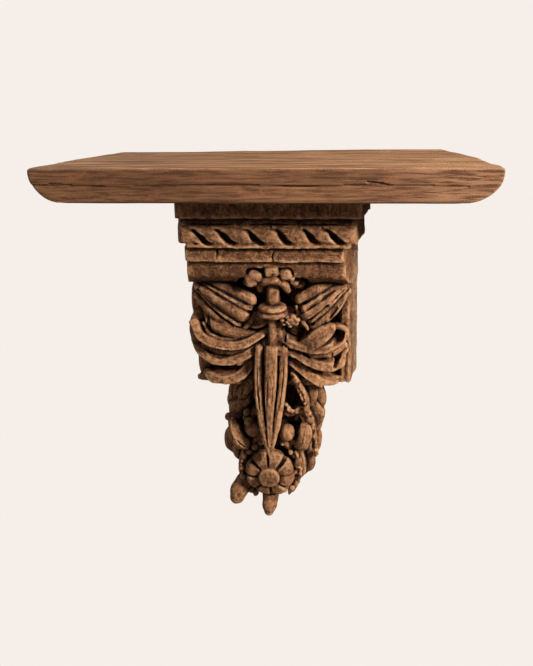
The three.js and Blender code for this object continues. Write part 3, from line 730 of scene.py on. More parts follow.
def stem():
    rod([(0.6, -3, 108), (1.4, 5, 106), (1.8, 15.8, 110), (1.8, 26, 112)], [6.8, 6.8, 6.6, 6.6])
    rod([(1, 34, 104), (1.4, 47, 110), (1.4, 60, 113)], [5.2, 5.2, 5.6])
    head = on_panel(1.4, 24.4, 101)
    collar = [
        (0, -1), (10, -1), (13.8, -0.4), (15.6, 1.0), (15.8, 2.8), (14.6, 4.2), (13.4, 4.9), (15.4, 5.8),
        (16.8, 7.4), (16.6, 9.6), (14.8, 11.2), (10.4, 12.0), (8.0, 13.4), (0, 13.4),
    ]
    corbel.join(corbel.turned(head, head - np.array([0, 0, 1.0]), collar), 0.4)
    for down, size in ((61.0, 6.6), (65.2, 7.2)):
        corbel.join(corbel.ring(on_panel(1.6, down, 103), size, 2.8), 0.5)
    trunk = [on_panel(0, -10, 20), on_panel(0, 20, 24), on_panel(0, 50, 30), on_panel(0, 80, 44)]
    corbel.join(corbel.strand(trunk, [5, 6, 12, 20], [22, 22, 24, 26], soft=0.6), 2)
    cap = [on_panel(0.6, -14, 92), on_panel(0.8, -2, 90)]
    corbel.join(corbel.strand(cap, [14, 10], [12, 12], soft=0.8), 2)
    rod([(-17, 13, 88), (-15.6, 6.8, 104), (-10.4, 2.4, 120), (-0.2, 0.4, 128), (10.1, 1.4, 126),
         (17.6, 5.4, 114), (21, 13, 90)], [3.4, 4.4, 5.0, 5.2, 5.0, 4.6, 3.4], 0.4)
    # The worn lumps of the crown over the stem
    for spot, sizes, turn, soft in (
        ((-23.0, -3.8, 72), (15, 54, 10), (0.04, 0.5, 0.1), 4.0),
        ((-29.6, 0.0, 70), (12, 54, 15), (0.04, -0.2, 0.1), 4.4),
        ((-13.0, -3.4, 66), (15, 50, 8), (0.03, 0.25, 0.05), 3.4),
        ((0.6, -6.4, 73), (15, 54, 11), (-0.04, -0.08, 0.04), 3.2),
        ((12.0, -3.4, 66), (13, 50, 8), (0, 0.3, 0), 3.4),
        ((22.6, -5.0, 72), (13, 54, 12), (0.03, -0.2, -0.08), 4.0),
        ((29.4, -1.4, 68), (9, 50, 8), (0.03, 0.5, -0.08), 3.4),
        ((33.4, 4.0, 60), (11, 40, 8), (0.04, 0.6, -0.1), 3.4),
    ):
        corbel.join(corbel.chunk(on_panel(*spot), sizes, turn, soft), 0.8)
    for points in (
        [(-34, -1.4, 112), (-22, 3.4, 113)], [(4, -9.6, 120), (2.6, -5.0, 120)],
        [(18, -7, 116), (28, -2, 114)],
    ):
        groove(points, [0.8, 1.0], [4, 4], blend=0.5)
    for x, down, lift, size in ((36, 9, 66, 4.4), (-34, 8, 62, 4.6)):
        corbel.join(corbel.egg(on_panel(x, down, lift), (size * 1.7, size * 1.8, size)), 1.5)


def stem_flowers():
    centre = on_panel(25.5, 36.8, 98)
    corbel.join(corbel.strand([on_panel(10, 37, 60), on_panel(26, 36, 66)], [8, 9]), 2)
    corbel.join(corbel.egg(centre, (9.5, 8.5, 6.2)), 1)
    for i in range(7):
        angle = math.tau * (i + 0.25) / 7
        spot = centre + np.array([8.2 * math.cos(angle), -4.6, 5.2 * math.sin(angle)])
        corbel.join(corbel.egg(spot, (3.3, 4.4, 2.6)), 0.3)
    for i in range(5):
        angle = math.tau * (i + 0.5) / 5
        spot = centre + np.array([3.2 * math.cos(angle), -7.6, 2.2 * math.sin(angle)])
        corbel.join(corbel.egg(spot, (1.9, 2.4, 1.5)), 0.2)
    corbel.cut(corbel.egg(centre + np.array([0, -10.5, 0]), (1.3, 3, 1.1)), 0.3)
    for sweep, size, half in (
        ([(-38, 39.6, 84), (-31, 43.6, 90), (-20.4, 44.6, 92), (-11, 42, 90), (-7.5, 38.4, 86)], 1.7, 10),
        ([(-32.5, 38.4, 86), (-27.5, 41.2, 90), (-20.4, 41.4, 92), (-13.6, 39.4, 90)], 1.4, 9),
        ([(-27, 36.8, 86), (-21, 38, 90), (-15, 36.8, 88)], 1.2, 8),
    ):
        leaf(sweep, [size * 0.8, size, size, size * 0.8], 2 * half, blend=0.5)
    corbel.join(corbel.egg(on_panel(-21, 36, 62), (11, 16, 8)), 2)


def sheaf():
    tip = on_panel(0.0, 156.5, 152)
    blades = [
        ([(0.6, 62, 124), (0, 84, 131), (-0.8, 104, 137), (-1.4, 124, 143), (-1.2, 140, 147)],
         [7.6, 8.0, 7.0, 5.4, 3.0], 0.2),
        ([(-17.6, 62, 112), (-18.2, 84, 120), (-16.4, 104, 128), (-12.4, 124, 138), (-6.6, 141, 146)],
         [4.2, 4.8, 4.5, 4.0, 2.8], 0.3),
        ([(16.6, 63, 112), (16.0, 84, 120), (13.4, 104, 128), (8.8, 124, 138), (4.4, 141, 146)],
         [4.4, 4.9, 4.4, 3.8, 2.6], 0.3),
    ]
    for points, widths, keel in blades:
        spots = [on_panel(*p) + behind(9) for p in points] + [tip + behind(7)]
        depths = [10, 10, 10, 9, 8, 5]
        corbel.join(corbel.strand(spots, widths + [1.3], depths, soft=0.6, keel=keel, marks=0.3), 0.2)
    back = [on_panel(0, 60, 72), on_panel(-1, 90, 86), on_panel(-1, 124, 104), on_panel(-1, 146, 126)]
    corbel.join(corbel.strand(back, [13, 11, 7, 3], [14, 14, 12, 10], soft=0.6), 1.0)
    for points in (
        [(-9.0, 66, 124), (-9.6, 88, 131), (-8.8, 108, 138), (-6.6, 126, 145), (-3.6, 144, 150)],
        [(9.4, 66, 124), (8.9, 88, 131), (6.8, 108, 138), (4.0, 126, 145), (1.6, 144, 150)],
    ):
        groove(points, [1.0, 1.1, 1.0, 0.9, 0.5], [14, 14, 12, 9, 4], blend=0.4)
    for points in (
        [(-2.4, 108, 143), (-2.2, 126, 149), (-1.0, 146, 154)],
        [(3.6, 70, 131), (3.2, 92, 137), (1.6, 112, 143)],
        [(-3.6, 72, 131), (-4.4, 92, 137), (-4.6, 112, 142)],
        [(1.4, 118, 147), (0.8, 134, 151), (0.2, 150, 154)],
        [(-18.4, 68, 118), (-18.6, 88, 124), (-15.8, 110, 132), (-10, 130, 142)],
        [(17.2, 68, 118), (16.4, 88, 124), (12.8, 108, 132), (8, 126, 141)],
    ):
        groove(points, [0.5, 0.7, 0.5], [1.5, 1.8, 1.4], blend=0.4, soft=0.3)


# The pendant's core: how far down, its width, its front's reach and its back's, all in percent
core_rows = np.array([
    [-12, 64, 70, 0], [0, 78, 75, 0], [18, 88, 80, 0], [38, 90, 84, 0], [56, 86, 85, 5],
    [72, 69, 83, 15], [86, 50, 76, 29], [94, 30, 69, 42], [98, 12, 60, 50],
], float)


def core_at(down):
    return [np.interp(down, core_rows[:, 0], core_rows[:, i]) for i in (1, 2, 3)]


def on_core(degrees, down, sink=0.0):
    """A spot on the pendant's core and the way out of it: 0 degrees is its right side, 90 its front."""
    width, front, back = core_at(down)
    angle = math.radians(degrees)
    middle, half = (front + back) / 2, (front - back) / 2
    side = math.copysign(abs(math.cos(angle)) ** 0.8, math.cos(angle))
    face = math.copysign(abs(math.sin(angle)) ** 0.8, math.sin(angle))
    out = np.array([math.cos(angle), -math.sin(angle), -0.25 if down > 40 else 0.0])
    out = out / np.linalg.norm(out)
    return on_pendant(width * side, down, middle + half * face) - out * sink, out


def pendant_core():
    low = at(-pendant_half_width - FAR, block_height + pendant_height + FAR, pendant_reach + FAR)
    high = at(pendant_half_width + FAR, block_height - 17, -FAR)
    window, x, y, z = corbel.within(low, high)
    down = (block_top - block_height - z[0, 0]) / pendant_height * 100
    width, front, back = core_at(down)
    width = width / 100 * pendant_half_width
    middle = -(front + back) / 200 * pendant_reach
    half = (front - back) / 200 * pendant_reach
    k = (np.abs((x - axis_lean) / width) ** 2.5 + np.abs((y - middle) / half) ** 2.5) ** (1 / 2.5)
    d = (k - 1) * np.minimum(width, half) * 0.9
    d = np.maximum(d, (down - 98) / 100 * pendant_height)
    corbel.join((window, np.clip(d, -FAR, FAR)), 1.0)


def scale_leaf(degrees, down, turn, length, width):
    """A small pointed leaf that lies on the pendant's core."""
    root, out = on_core(degrees, down, 0.5)
    middle, _ = on_core(degrees + turn * 0.5, down + length * 0.55, -2.4)
    tip, _ = on_core(degrees + turn, down + length, 0.6)
    widths, depths = [width * 0.5, width, width * 0.8, 0.9], [2.6, 4.4, 3.8, 1.4]
    made = corbel.strand([root, middle, tip], widths, depths, out=out, soft=0.6, keel=0.35, marks=0.3)
    corbel.join(made, 0.5)


def pendant_cover():
    """Rows of small leaves and lumps round the pendant's sides, with its front and back left free."""
    rng = np.random.default_rng(11)
    for row, row_down in enumerate((-6, 8, 22, 36, 50, 64, 77)):
        step = 27 if row_down < 60 else 34
        for degrees in np.arange(-40, 222, step):
            degrees = degrees + (row % 2) * step / 2 + rng.uniform(-4, 4)
            if 62 < degrees < 118:
                continue
            length = rng.uniform(15, 20)
            down = row_down + rng.uniform(-2, 2)
            turn = rng.uniform(-12, 12)
            scale_leaf(degrees, down, turn, length, rng.uniform(4.6, 6.8))
    for _ in range(46):
        degrees, down = rng.uniform(-30, 210), rng.uniform(4, 86)
        if 64 < degrees < 116:
            continue
        spot, _ = on_core(degrees, down, -0.4)
        size = rng.uniform(2.4, 4.2)
        corbel.join(corbel.egg(spot, (size, size, size * rng.uniform(0.8, 1.5))), 0.4)


def lie(points, widths, thickness=9.0, out=OUTWARD, blend=0.3, **more):
    """A leaf or vine on the pendant: its points are on its face."""
    thickness = thickness * 1.7
    out = np.asarray(out, float) / np.linalg.norm(out)
    spots = [on_pendant(*p) - out * thickness / 2 for p in points]
    depths = [thickness * share for share in eased([0.4, 0.5, 0.5, 0.4], len(widths))]
    more.setdefault("soft", 0.5)
    corbel.join(corbel.strand(spots, widths, depths, out=out, marks=0.26, **more), blend)


def chips(points, count, size, seed):
    """Broken and worn bits along a stalk or a torn edge on the pendant."""
    rng = np.random.default_rng(seed)
    line = smooth_line([on_pendant(*p) for p in points], 8)
    for i in range(count):
        spot = line[int((i + 0.5) / count * len(line))] + rng.uniform(-1.4, 1.4, 3)
        sizes = size * rng.uniform(0.7, 1.4, 3) * np.array([1, 1.5, 1.3])
        corbel.join(corbel.chunk(spot, tuple(sizes), tuple(rng.uniform(-0.7, 0.7, 3)), 0.6), 0.3)


def pendant_front():
    left, right, far_right = (-0.5, -0.87, 0), (0.5, -0.87, 0), (0.7, -0.7, 0)
    # Broad leaves and lobes, from the top down on the left and then on the right
    lie([(-26, -14, 92), (-38, -4, 94), (-50, 4, 91), (-60, 12, 86)], [5.0, 7.4, 6.4, 1.6], 14, keel=0.4)
    lie([(-62, -10, 80), (-66, 2, 82), (-72, 12, 78)], [6, 7.4, 3], 14, left, keel=0.3)
    lie([(-48, 10, 82), (-60, 17, 85), (-72, 23, 82), (-84, 29, 76)], [3.6, 7.0, 7.0, 3.4],
        14, left, keel=0.3)
    lie([(-56, 24, 82), (-70, 30, 80), (-88, 38, 73)], [3.0, 6.4, 4.4], 14, left, keel=0.3)
    lie([(-73, 35.4, 88), (-67, 41, 95), (-58, 46.8, 96), (-47, 52.4, 91)], [3.0, 8.4, 8.6, 2.4],
        14, soft=0.4, keel=0.5)
    lie([(-84, 42, 76), (-91, 51, 76), (-92, 60, 74), (-86, 67, 72)], [4.0, 6.2, 6.0, 3.0],
        14, left, keel=0.35)
    lie([(-76, 52, 82), (-74, 62, 82), (-66, 72, 80)], [3.4, 5.6, 3.0], 12, left, keel=0.3)
    lie([(-50, 55, 88), (-57, 66, 87), (-60, 78, 84), (-56, 88, 82)], [3.0, 4.4, 4.6, 4.0], 12, keel=0.2)
    lie([(42, -16, 94), (50, -9, 96), (58, -1, 95), (65, 8, 92), (71, 17, 88)],
        [2.4, 4.4, 5.0, 4.6, 1.6], 12, keel=0.5)
    lie([(62, -14, 84), (74, -4, 85), (83, 6, 86), (82, 17, 84)], [4.4, 7.2, 7.6, 5.4],
        14, right, keel=0.2)
    lie([(86, -4, 72), (96, 8, 73), (101, 18, 72), (98, 29, 72)], [4.4, 6.8, 7.0, 4.6],
        14, far_right, keel=0.25)
    lie([(84, 18, 82), (94, 27, 80), (95, 37, 77)], [4.4, 6.6, 5.2], 13, right, keel=0.2)
    lie([(36, 26, 88), (52.8, 20.3, 92), (70.2, 23.5, 92), (80.9, 34.9, 90), (83.2, 52.3, 86)],
        [2.0, 2.8, 3.0, 2.8, 2.0], 12)
    lie([(55.9, 22.6, 92), (68.3, 30.1, 93), (74.4, 41.6, 91), (75.5, 55.7, 87)], [1.6, 2.4, 2.4, 1.6], 12)
    lie([(65, 30.4, 94), (67.5, 37.4, 98.6), (62, 45, 97.6), (51, 52, 92)], [2.4, 7.4, 7.8, 2.4],
        14, soft=0.4, keel=0.3)
    lie([(38, 51, 90), (46, 45, 93), (53, 38, 94)], [2.0, 3.8, 2.6], 10, keel=0.2)
    lie([(88, 40, 78), (93, 50, 76), (90, 60, 74), (85, 67, 73)], [4.6, 6.0, 5.6, 3.0],
        13, far_right, keel=0.3)
    lie([(70, 58, 80), (77, 67, 78), (77, 76, 76), (67, 84, 74)], [4.2, 6.4, 6.6, 3.6],
        13, right, keel=0.3)
    lie([(52, 56, 88), (57, 66, 87), (57, 76, 85), (50, 87, 80)], [3.2, 5.2, 5.6, 3.6], 12, keel=0.15)
    lie([(46, 84, 82), (43, 91, 81), (37, 97, 80), (31, 103, 79)], [4.4, 5.2, 4.2, 1.8], 11, keel=0.2)
    lie([(14, 92, 84), (26, 92, 83), (36, 89, 82)], [4.0, 5.6, 4.4], 12)
    lie([(-50, 90, 82), (-38, 95, 82), (-24, 98, 82)], [5.2, 5.8, 4.4], 12)
    lie([(22, 18, 84), (32, 22, 90), (44, 24, 91)], [2.6, 4.4, 2.4], 10, keel=0.2)
    lie([(24, 47, 90), (32, 50, 92), (40, 56, 91)], [1.8, 3.8, 2.0], 9, keel=0.3)
    lie([(-24, 44, 86), (-32, 52, 89), (-40, 60, 90)], [2.0, 4.4, 2.4], 9, keel=0.3)
    lie([(-24, 20, 80), (-36, 26, 86), (-52, 30, 88)], [3.0, 4.2, 3.0], 9, keel=0.2)
    # The two fruits, berries and small lumps
    for spot, radii in (
        ((-35.8, 36.8, 88), (8.8, 11, 9.2)), ((-41.6, 31.4, 86), (6.0, 10, 6.4)),
        ((31.6, 37.8, 92.6), (9.2, 11, 9.0)), ((27.4, 40.4, 88), (6.8, 11, 6.4)),
        ((34.6, 8.5, 84), (4.2, 9, 5.0)), ((-27.2, 9.8, 82), (3.8, 9, 4.6)), ((-88, 35.4, 72), (5, 6, 5)),
        ((22, 26, 80), (4, 8, 5)), ((-47, 24, 84), (4, 7, 4.4)), ((45, 12, 84), (4.4, 8, 5.4)),
        ((46, 58.4, 89), (3.8, 6, 3.6)), ((50.4, 66.4, 90), (3.6, 6, 4)), ((46.2, 74, 88), (3.6, 6, 3.6)),
        ((38, 55.4, 90), (3.4, 6, 3.2)), ((32, 49.4, 88), (3.6, 7, 3.0)), ((22, 49.0, 87), (3.8, 8, 3.2)),
        ((-20, 50.0, 86), (3.8, 8, 3.2)), ((-32, 53.0, 88), (4.0, 7, 3.6)), ((-43, 57.0, 89), (3.6, 6, 3.4)),
        ((-52, 60, 91), (3.4, 4, 3.6)), ((-58, 72, 89), (3.4, 4, 4)), ((-58.4, 82, 86), (3.6, 4, 3.8)),
        ((-42.8, 96.4, 83), (3.6, 5, 3.4)), ((-33.7, 99, 83), (3.4, 5, 3.2)),
        ((15.6, 97.5, 82), (3.6, 5, 3.4)), ((24, 96, 82), (3.4, 5, 3.6)), ((38, 94, 82), (3.4, 4, 3.4)),
    ):
        corbel.join(corbel.egg(on_pendant(*spot), radii), 0.4)
    chips([(44, -14, 96), (56, -2, 97), (66, 12, 93), (72, 22, 92), (80, 36, 90)], 13, 4.0, 21)
    chips([(84, 40, 88), (86, 52, 86), (84, 64, 82)], 7, 4.2, 22)
    chips([(48, 54, 94), (55, 64, 93), (55, 76, 90), (48, 88, 84)], 10, 3.8, 23)
    chips([(-52, 56, 92), (-59, 68, 91), (-59, 80, 88)], 7, 3.2, 24)
    chips([(24, 14, 86), (36, 18, 90), (50, 20, 93)], 6, 3.4, 25)
    for points, width in (
        ([(-46, -6, 98), (-54, 6, 92)], 0.9), ([(53, -8, 98), (66, 10, 94)], 0.8),
        ([(66, 31, 100), (62, 44, 99)], 0.8), ([(-66, 42, 98), (-50, 50, 96)], 0.7),
        ([(90, 24, 84), (95, 34, 80)], 1.0), ([(97, 10, 78), (101, 24, 76)], 1.0),
    ):
        groove(points, [width * 0.7, width], [3.0, 3.0], on_pendant, 0.5)


def pendant_flower():
    radius = 29.0
    centre = on_pendant(-2.8, 74.6, 92)
    face = centre + np.array([0, -10, -0.8])
    out = (face - centre) / np.linalg.norm(face - centre)
    dome = [
        (0, -18), (0.7 * radius, -16), (0.95 * radius, -8), (radius, -2), (0.98 * radius, 2.4),
        (0.86 * radius, 5.8), (0.6 * radius, 7.6), (0.3 * radius, 7.0), (0, 7.0),
    ]
    # The slots between the petals: the width of each, and its share of the depth
    slots = [(1.2, 0.35), (1.7, 1), (1.4, 0.8), (1.8, 1), (1.5, 0.9), (1.4, 0.6), (1.4, 0.5), (1.4, 0.6)]
    corbel.join(corbel.turned(centre, face, dome, len(slots), 0.07, math.pi / 8 + 0.1), 0.6)
    for i, (width, deep) in enumerate(slots):
        angle = math.tau * (i + 0.08) / len(slots)
        ray = np.array([math.cos(angle), 0, math.sin(angle)])
        ray = ray - ray @ out * out
        ends = [centre + ray * 0.38 * radius + out * 9.5, centre + ray * 1.02 * radius + out * 6.5]
        widths, depths = [width * 0.9, width * 1.5], [6.4 * deep, 9 * deep]
        corbel.cut(corbel.strand(ends, widths, depths, out=out, soft=0.3), 0.4)
    button = [
        (0, 0), (0.42 * radius, 0), (0.42 * radius, 10.4), (0.36 * radius, 11.8), (0.15 * radius, 12.2),
        (0.12 * radius, 11.8), (0, 12.4),
    ]
    corbel.join(corbel.turned(centre, face, button), 0.4)


def drops():
    """The two tips that hang lowest, at the left and in the middle."""
    for points, widths, blend in (
        ([(-48, 86, 80), (-58.2, 89.5, 82), (-66.5, 96, 84), (-71.0, 101.4, 85)], [8.6, 9.6, 10.6, 8.6], 1.0),
        ([(-4.4, 90, 76), (-4.0, 98.5, 84), (-4.6, 104.6, 89), (-6.0, 110, 91)], [9.0, 10.2, 9.2, 6.4], 0.8),
    ):
        corbel.join(corbel.strand([on_pendant(*p) for p in points], widths), blend)
    corbel.join(corbel.egg(on_pendant(1, 91.5, 83), (13, 10, 8)), 1.5)
    for x, down, turn in ((-12, 96.6, 0.3), (-2, 97.6, -0.2), (8, 96.4, 0.5)):
        corbel.join(corbel.chunk(on_pendant(x, down, 88), (6, 8, 5), (0.3, turn, 0.2), 0.8), 0.4)


def weathering():
    """Wobbly old surfaces, worn edges, and rough grain where the wood was split and not carved."""
    corbel.wear(reach=1.7, most=0.3, amount=1.3, uneven=0.8, cells=(6, 6, 10), seed=3)
    d = corbel.d
    d += 0.22 * corbel.ripple((16, 16, 22), 4)
    d += 0.20 * corbel.ripple((3.4, 3.4, 6), 5) - 0.10
    d += 0.55 * np.maximum(corbel.ripple((5, 5, 7), 15) - 1.4, 0)
    x, y, z = corbel.coords(corbel.whole)
    # The split wood is at the right, from the band down to the block's underside
    split = np.clip((x - 74) / 6, 0, 1) * np.clip((block_top - band_top - z) / 4 + 0.5, 0, 1)
    split = split * np.clip((z - block_top + block_height + 4) / 6, 0, 1)
    d += corbel.ripple((2.4, 3.0, 26), 6) * (0.10 + 0.42 * split)
    d += 0.6 * split * np.maximum(corbel.ripple((5, 6, 14), 7), 0)
    np.maximum(d, y, out=d)


mouldings()
rope()
panel_bed()
buds()
leaves_left()
leaves_right()
stem()
stem_flowers()
trim_underside()
pendant_core()
pendant_cover()
pendant_front()
pendant_flower()
drops()
sheaf()
weathering()
corbel_piece = corbel.mesh("corbel_carving", MOST_FACES)


# The board

board_taper = 26.0
end_square, end_round = 4.0, 43.0
seam_drop = 17.0
board_warp = 2.6


def wave(axis, cell, seed):
    """Smooth random values along one axis."""
    return ripple([axis, np.zeros(1), np.zeros(1)], (cell, 1, 1), seed)


def sheet_wave(first, second, cells, seed):
    """Smooth random values over two axes."""
    return ripple([first, second, np.zeros(1)], (*cells, 1), seed)[:, :, 0]


def board_front(board):
    """Distance to the front, which is parted by a seam that opens and closes along it."""
    x, y, z = board.coords(board.whole)
    seam = board_top - seam_drop + 0.6 * wave(board.axes[0], 45, 9)
    sway = 0.3 * sheet_wave(board.axes[0], board.axes[2], (60, 9), 10)[:, None, :]
    front = -y - board_depth + 0.5 + sway + np.where(z < seam, 1.3, 0.0)
    opening = 1.7 * np.clip(0.65 + 0.35 * wave(board.axes[0], 22, 16), 0.1, 1.2)
    return front + np.exp(-((z - seam) ** 2)) * opening


def board_end(board, side, sway, longer, rounder):
    """Distance to one end, which is tapered towards the wall and rounded below its square edge."""
    x, y, z = board.coords(board.whole)
    rounding = board_top - board_under - end_square
    share = np.clip((board_top - z - end_square) / rounding, 0, 1)
    inset = rounder * end_round * (1 - np.sqrt(np.maximum(1 - share**2, 0)))
    inset = inset + np.clip((y + board_depth) / board_depth, 0, 2) ** 1.35 * board_taper
    inset = inset + sway * sheet_wave(board.axes[1], board.axes[2], (26, 40), 8)[None]
    slope = np.sqrt(1 + np.clip(share * end_round / rounding, 0, 6) ** 2)
    lean = math.atan2(board_taper, board_depth)
    return (side * x - board_half_width - longer + inset) * math.cos(lean) / slope


def shelf():
    board = Carving(board_low, board_high, BOARD_PITCH)
    x, y, z = board.coords(board.whole)
    # The top is warped up towards the wall at its right
    warp = board_warp * np.clip(1 + y / board_depth, 0, 1) * np.clip(0.55 + x / board_half_width, 0, 1)
    d = soft_max(board_front(board), z - board_top + 0.35 - warp, 1.8)
    d = soft_max(d, board_under + 0.2 - z, 4.0)
    for side, sway, longer, rounder in ((-1, 0.5, 4.4, 0.78), (1, 1.5, 1.6, 0.95)):
        d = soft_max(d, board_end(board, side, sway, longer, rounder), 2.0)
    board.d[:] = np.clip(np.maximum(d, y), -FAR, FAR)
    # Splits in the front edge: places across and down, half widths and depth
    for path, widths, deep in (
        ([(98, 13.4), (110, 14.6), (122, 17.0)], [0.5, 1.0, 0.4], 2.6),
        ([(104, 26), (112, 28)], [0.6, 1.2], 1.4),
        ([(-96, 26), (-84, 27.4), (-76, 29)], [0.4, 0.9, 0.4], 1.8),
        ([(-208, 15.6), (-186, 16.6)], [0.5, 0.5], 2.0),
    ):
        points = [np.array([across, -board_depth + 0.4, board_top - drop]) for across, drop in path]
        board.cut(board.strand(points, widths, [deep] * 3, soft=0.5), 0.8)
    board.wear(reach=1.8, most=0.4, amount=1.5, uneven=0.6, cells=(14, 9, 9), seed=12)
    board.d += 0.10 * board.ripple((40, 9, 7), 13) + 0.06 * board.ripple((30, 3, 2.4), 14)
    return board.mesh("shelf_plank", MOST_BOARD_FACES)


board_piece = shelf()


# Finish

def shader(name):
    material = bpy.data.materials.new(name)
    material.use_nodes = True
    nodes, links = material.node_tree.nodes, material.node_tree.links
    nodes.clear()
    return material, nodes, links


def node(nodes, kind, **settings):
    made = nodes.new(kind)
    for key, value in settings.items():
        setattr(made, key, value)
    return made


class Paint:
    """Small helpers to build a wood shader, which keep the colour that is painted so far."""

    def __init__(self, name):
        self.material, self.nodes, self.links = shader(name)
        self.coords = self.add("ShaderNodeTexCoord").outputs["Object"]
        self.colour = None

    def add(self, kind, **settings):
        return node(self.nodes, kind, **settings)

    def link(self, source, socket):
        """Links a socket, or sets a constant on the shader's own one."""
        if isinstance(source, (int, float, tuple)):
            socket.default_value = source
        else:
            self.links.new(source, socket)

    def stretched(self, scale):
        made = self.add("ShaderNodeMapping")
        self.link(self.coords, made.inputs["Vector"])
        made.inputs["Scale"].default_value = scale
        return made.outputs["Vector"]

    def noise(self, vector, scale, detail, rough, twist=0.0):
        made = self.add("ShaderNodeTexNoise")
        self.link(vector, made.inputs["Vector"])
        made.inputs["Scale"].default_value = scale
        made.inputs["Detail"].default_value = detail
        made.inputs["Roughness"].default_value = rough
        made.inputs["Distortion"].default_value = twist
        return made.outputs["Fac"]

    def math(self, kind, a, b=0.0):
        made = self.add("ShaderNodeMath", operation=kind)
        self.link(a, made.inputs[0])
        self.link(b, made.inputs[1])
        return made.outputs[0]

    def times(self, a, b):
        return self.math("MULTIPLY", a, b)

    def plus(self, a, b):
        return self.math("ADD", a, b)

    def rest(self, a):
        """What is left of one."""
        return self.math("SUBTRACT", 1.0, a)

    def ramp(self, value, low, high):
        """A mask that comes in smoothly between two values."""
        made = self.add("ShaderNodeMapRange", interpolation_type="SMOOTHSTEP")
        self.link(value, made.inputs["Value"])
        made.inputs["From Min"].default_value = low
        made.inputs["From Max"].default_value = high
        return made.outputs["Result"]

    def mix(self, share, a, b):
        """A colour that goes from a to b."""
        made = self.add("ShaderNodeMix", data_type="RGBA")
        self.link(share, made.inputs[0])
        self.link(a, made.inputs[6])
        self.link(b, made.inputs[7])
        return made.outputs[2]

    def tint(self, mask, strength, colour):
        """Lays a colour over what is painted so far, where the mask is."""
        self.colour = self.mix(self.times(mask, strength), self.colour, shade(*colour))

    def blend(self, share, a, b):
        """A number that goes from a to b."""
        made = self.add("ShaderNodeMix", data_type="FLOAT")
        self.link(share, made.inputs[0])
        self.link(a, made.inputs[2])
        self.link(b, made.inputs[3])
        return made.outputs[0]

    def parts(self, vector):
        """A vector's three parts."""
        made = self.add("ShaderNodeSeparateXYZ")
        self.link(vector, made.inputs[0])
        return made.outputs

    def layer(self, label):
        return self.add("ShaderNodeAttribute", attribute_name=label).outputs["Fac"]

    def finish(self, roughness, height, strength, distance):
        bump = self.add("ShaderNodeBump")
        bump.inputs["Strength"].default_value = strength
        bump.inputs["Distance"].default_value = distance
        self.link(height, bump.inputs["Height"])
        surface = self.add("ShaderNodeBsdfPrincipled")
        self.link(self.colour, surface.inputs["Base Color"])
        self.link(roughness, surface.inputs["Roughness"])
        surface.inputs["Specular IOR Level"].default_value = 0.16
        self.links.new(bump.outputs["Normal"], surface.inputs["Normal"])
        output = self.add("ShaderNodeOutputMaterial")
        self.links.new(surface.outputs["BSDF"], output.inputs["Surface"])
        return self.material


def shade(r, g, b):
    """A colour as it looks on a screen, from 0 to 255, in the renderer's own light."""
    def one(c):
        c = c / 255
        return c / 12.92 if c <= 0.04045 else ((c + 0.055) / 1.055) ** 2.4
    return (one(r), one(g), one(b), 1.0)


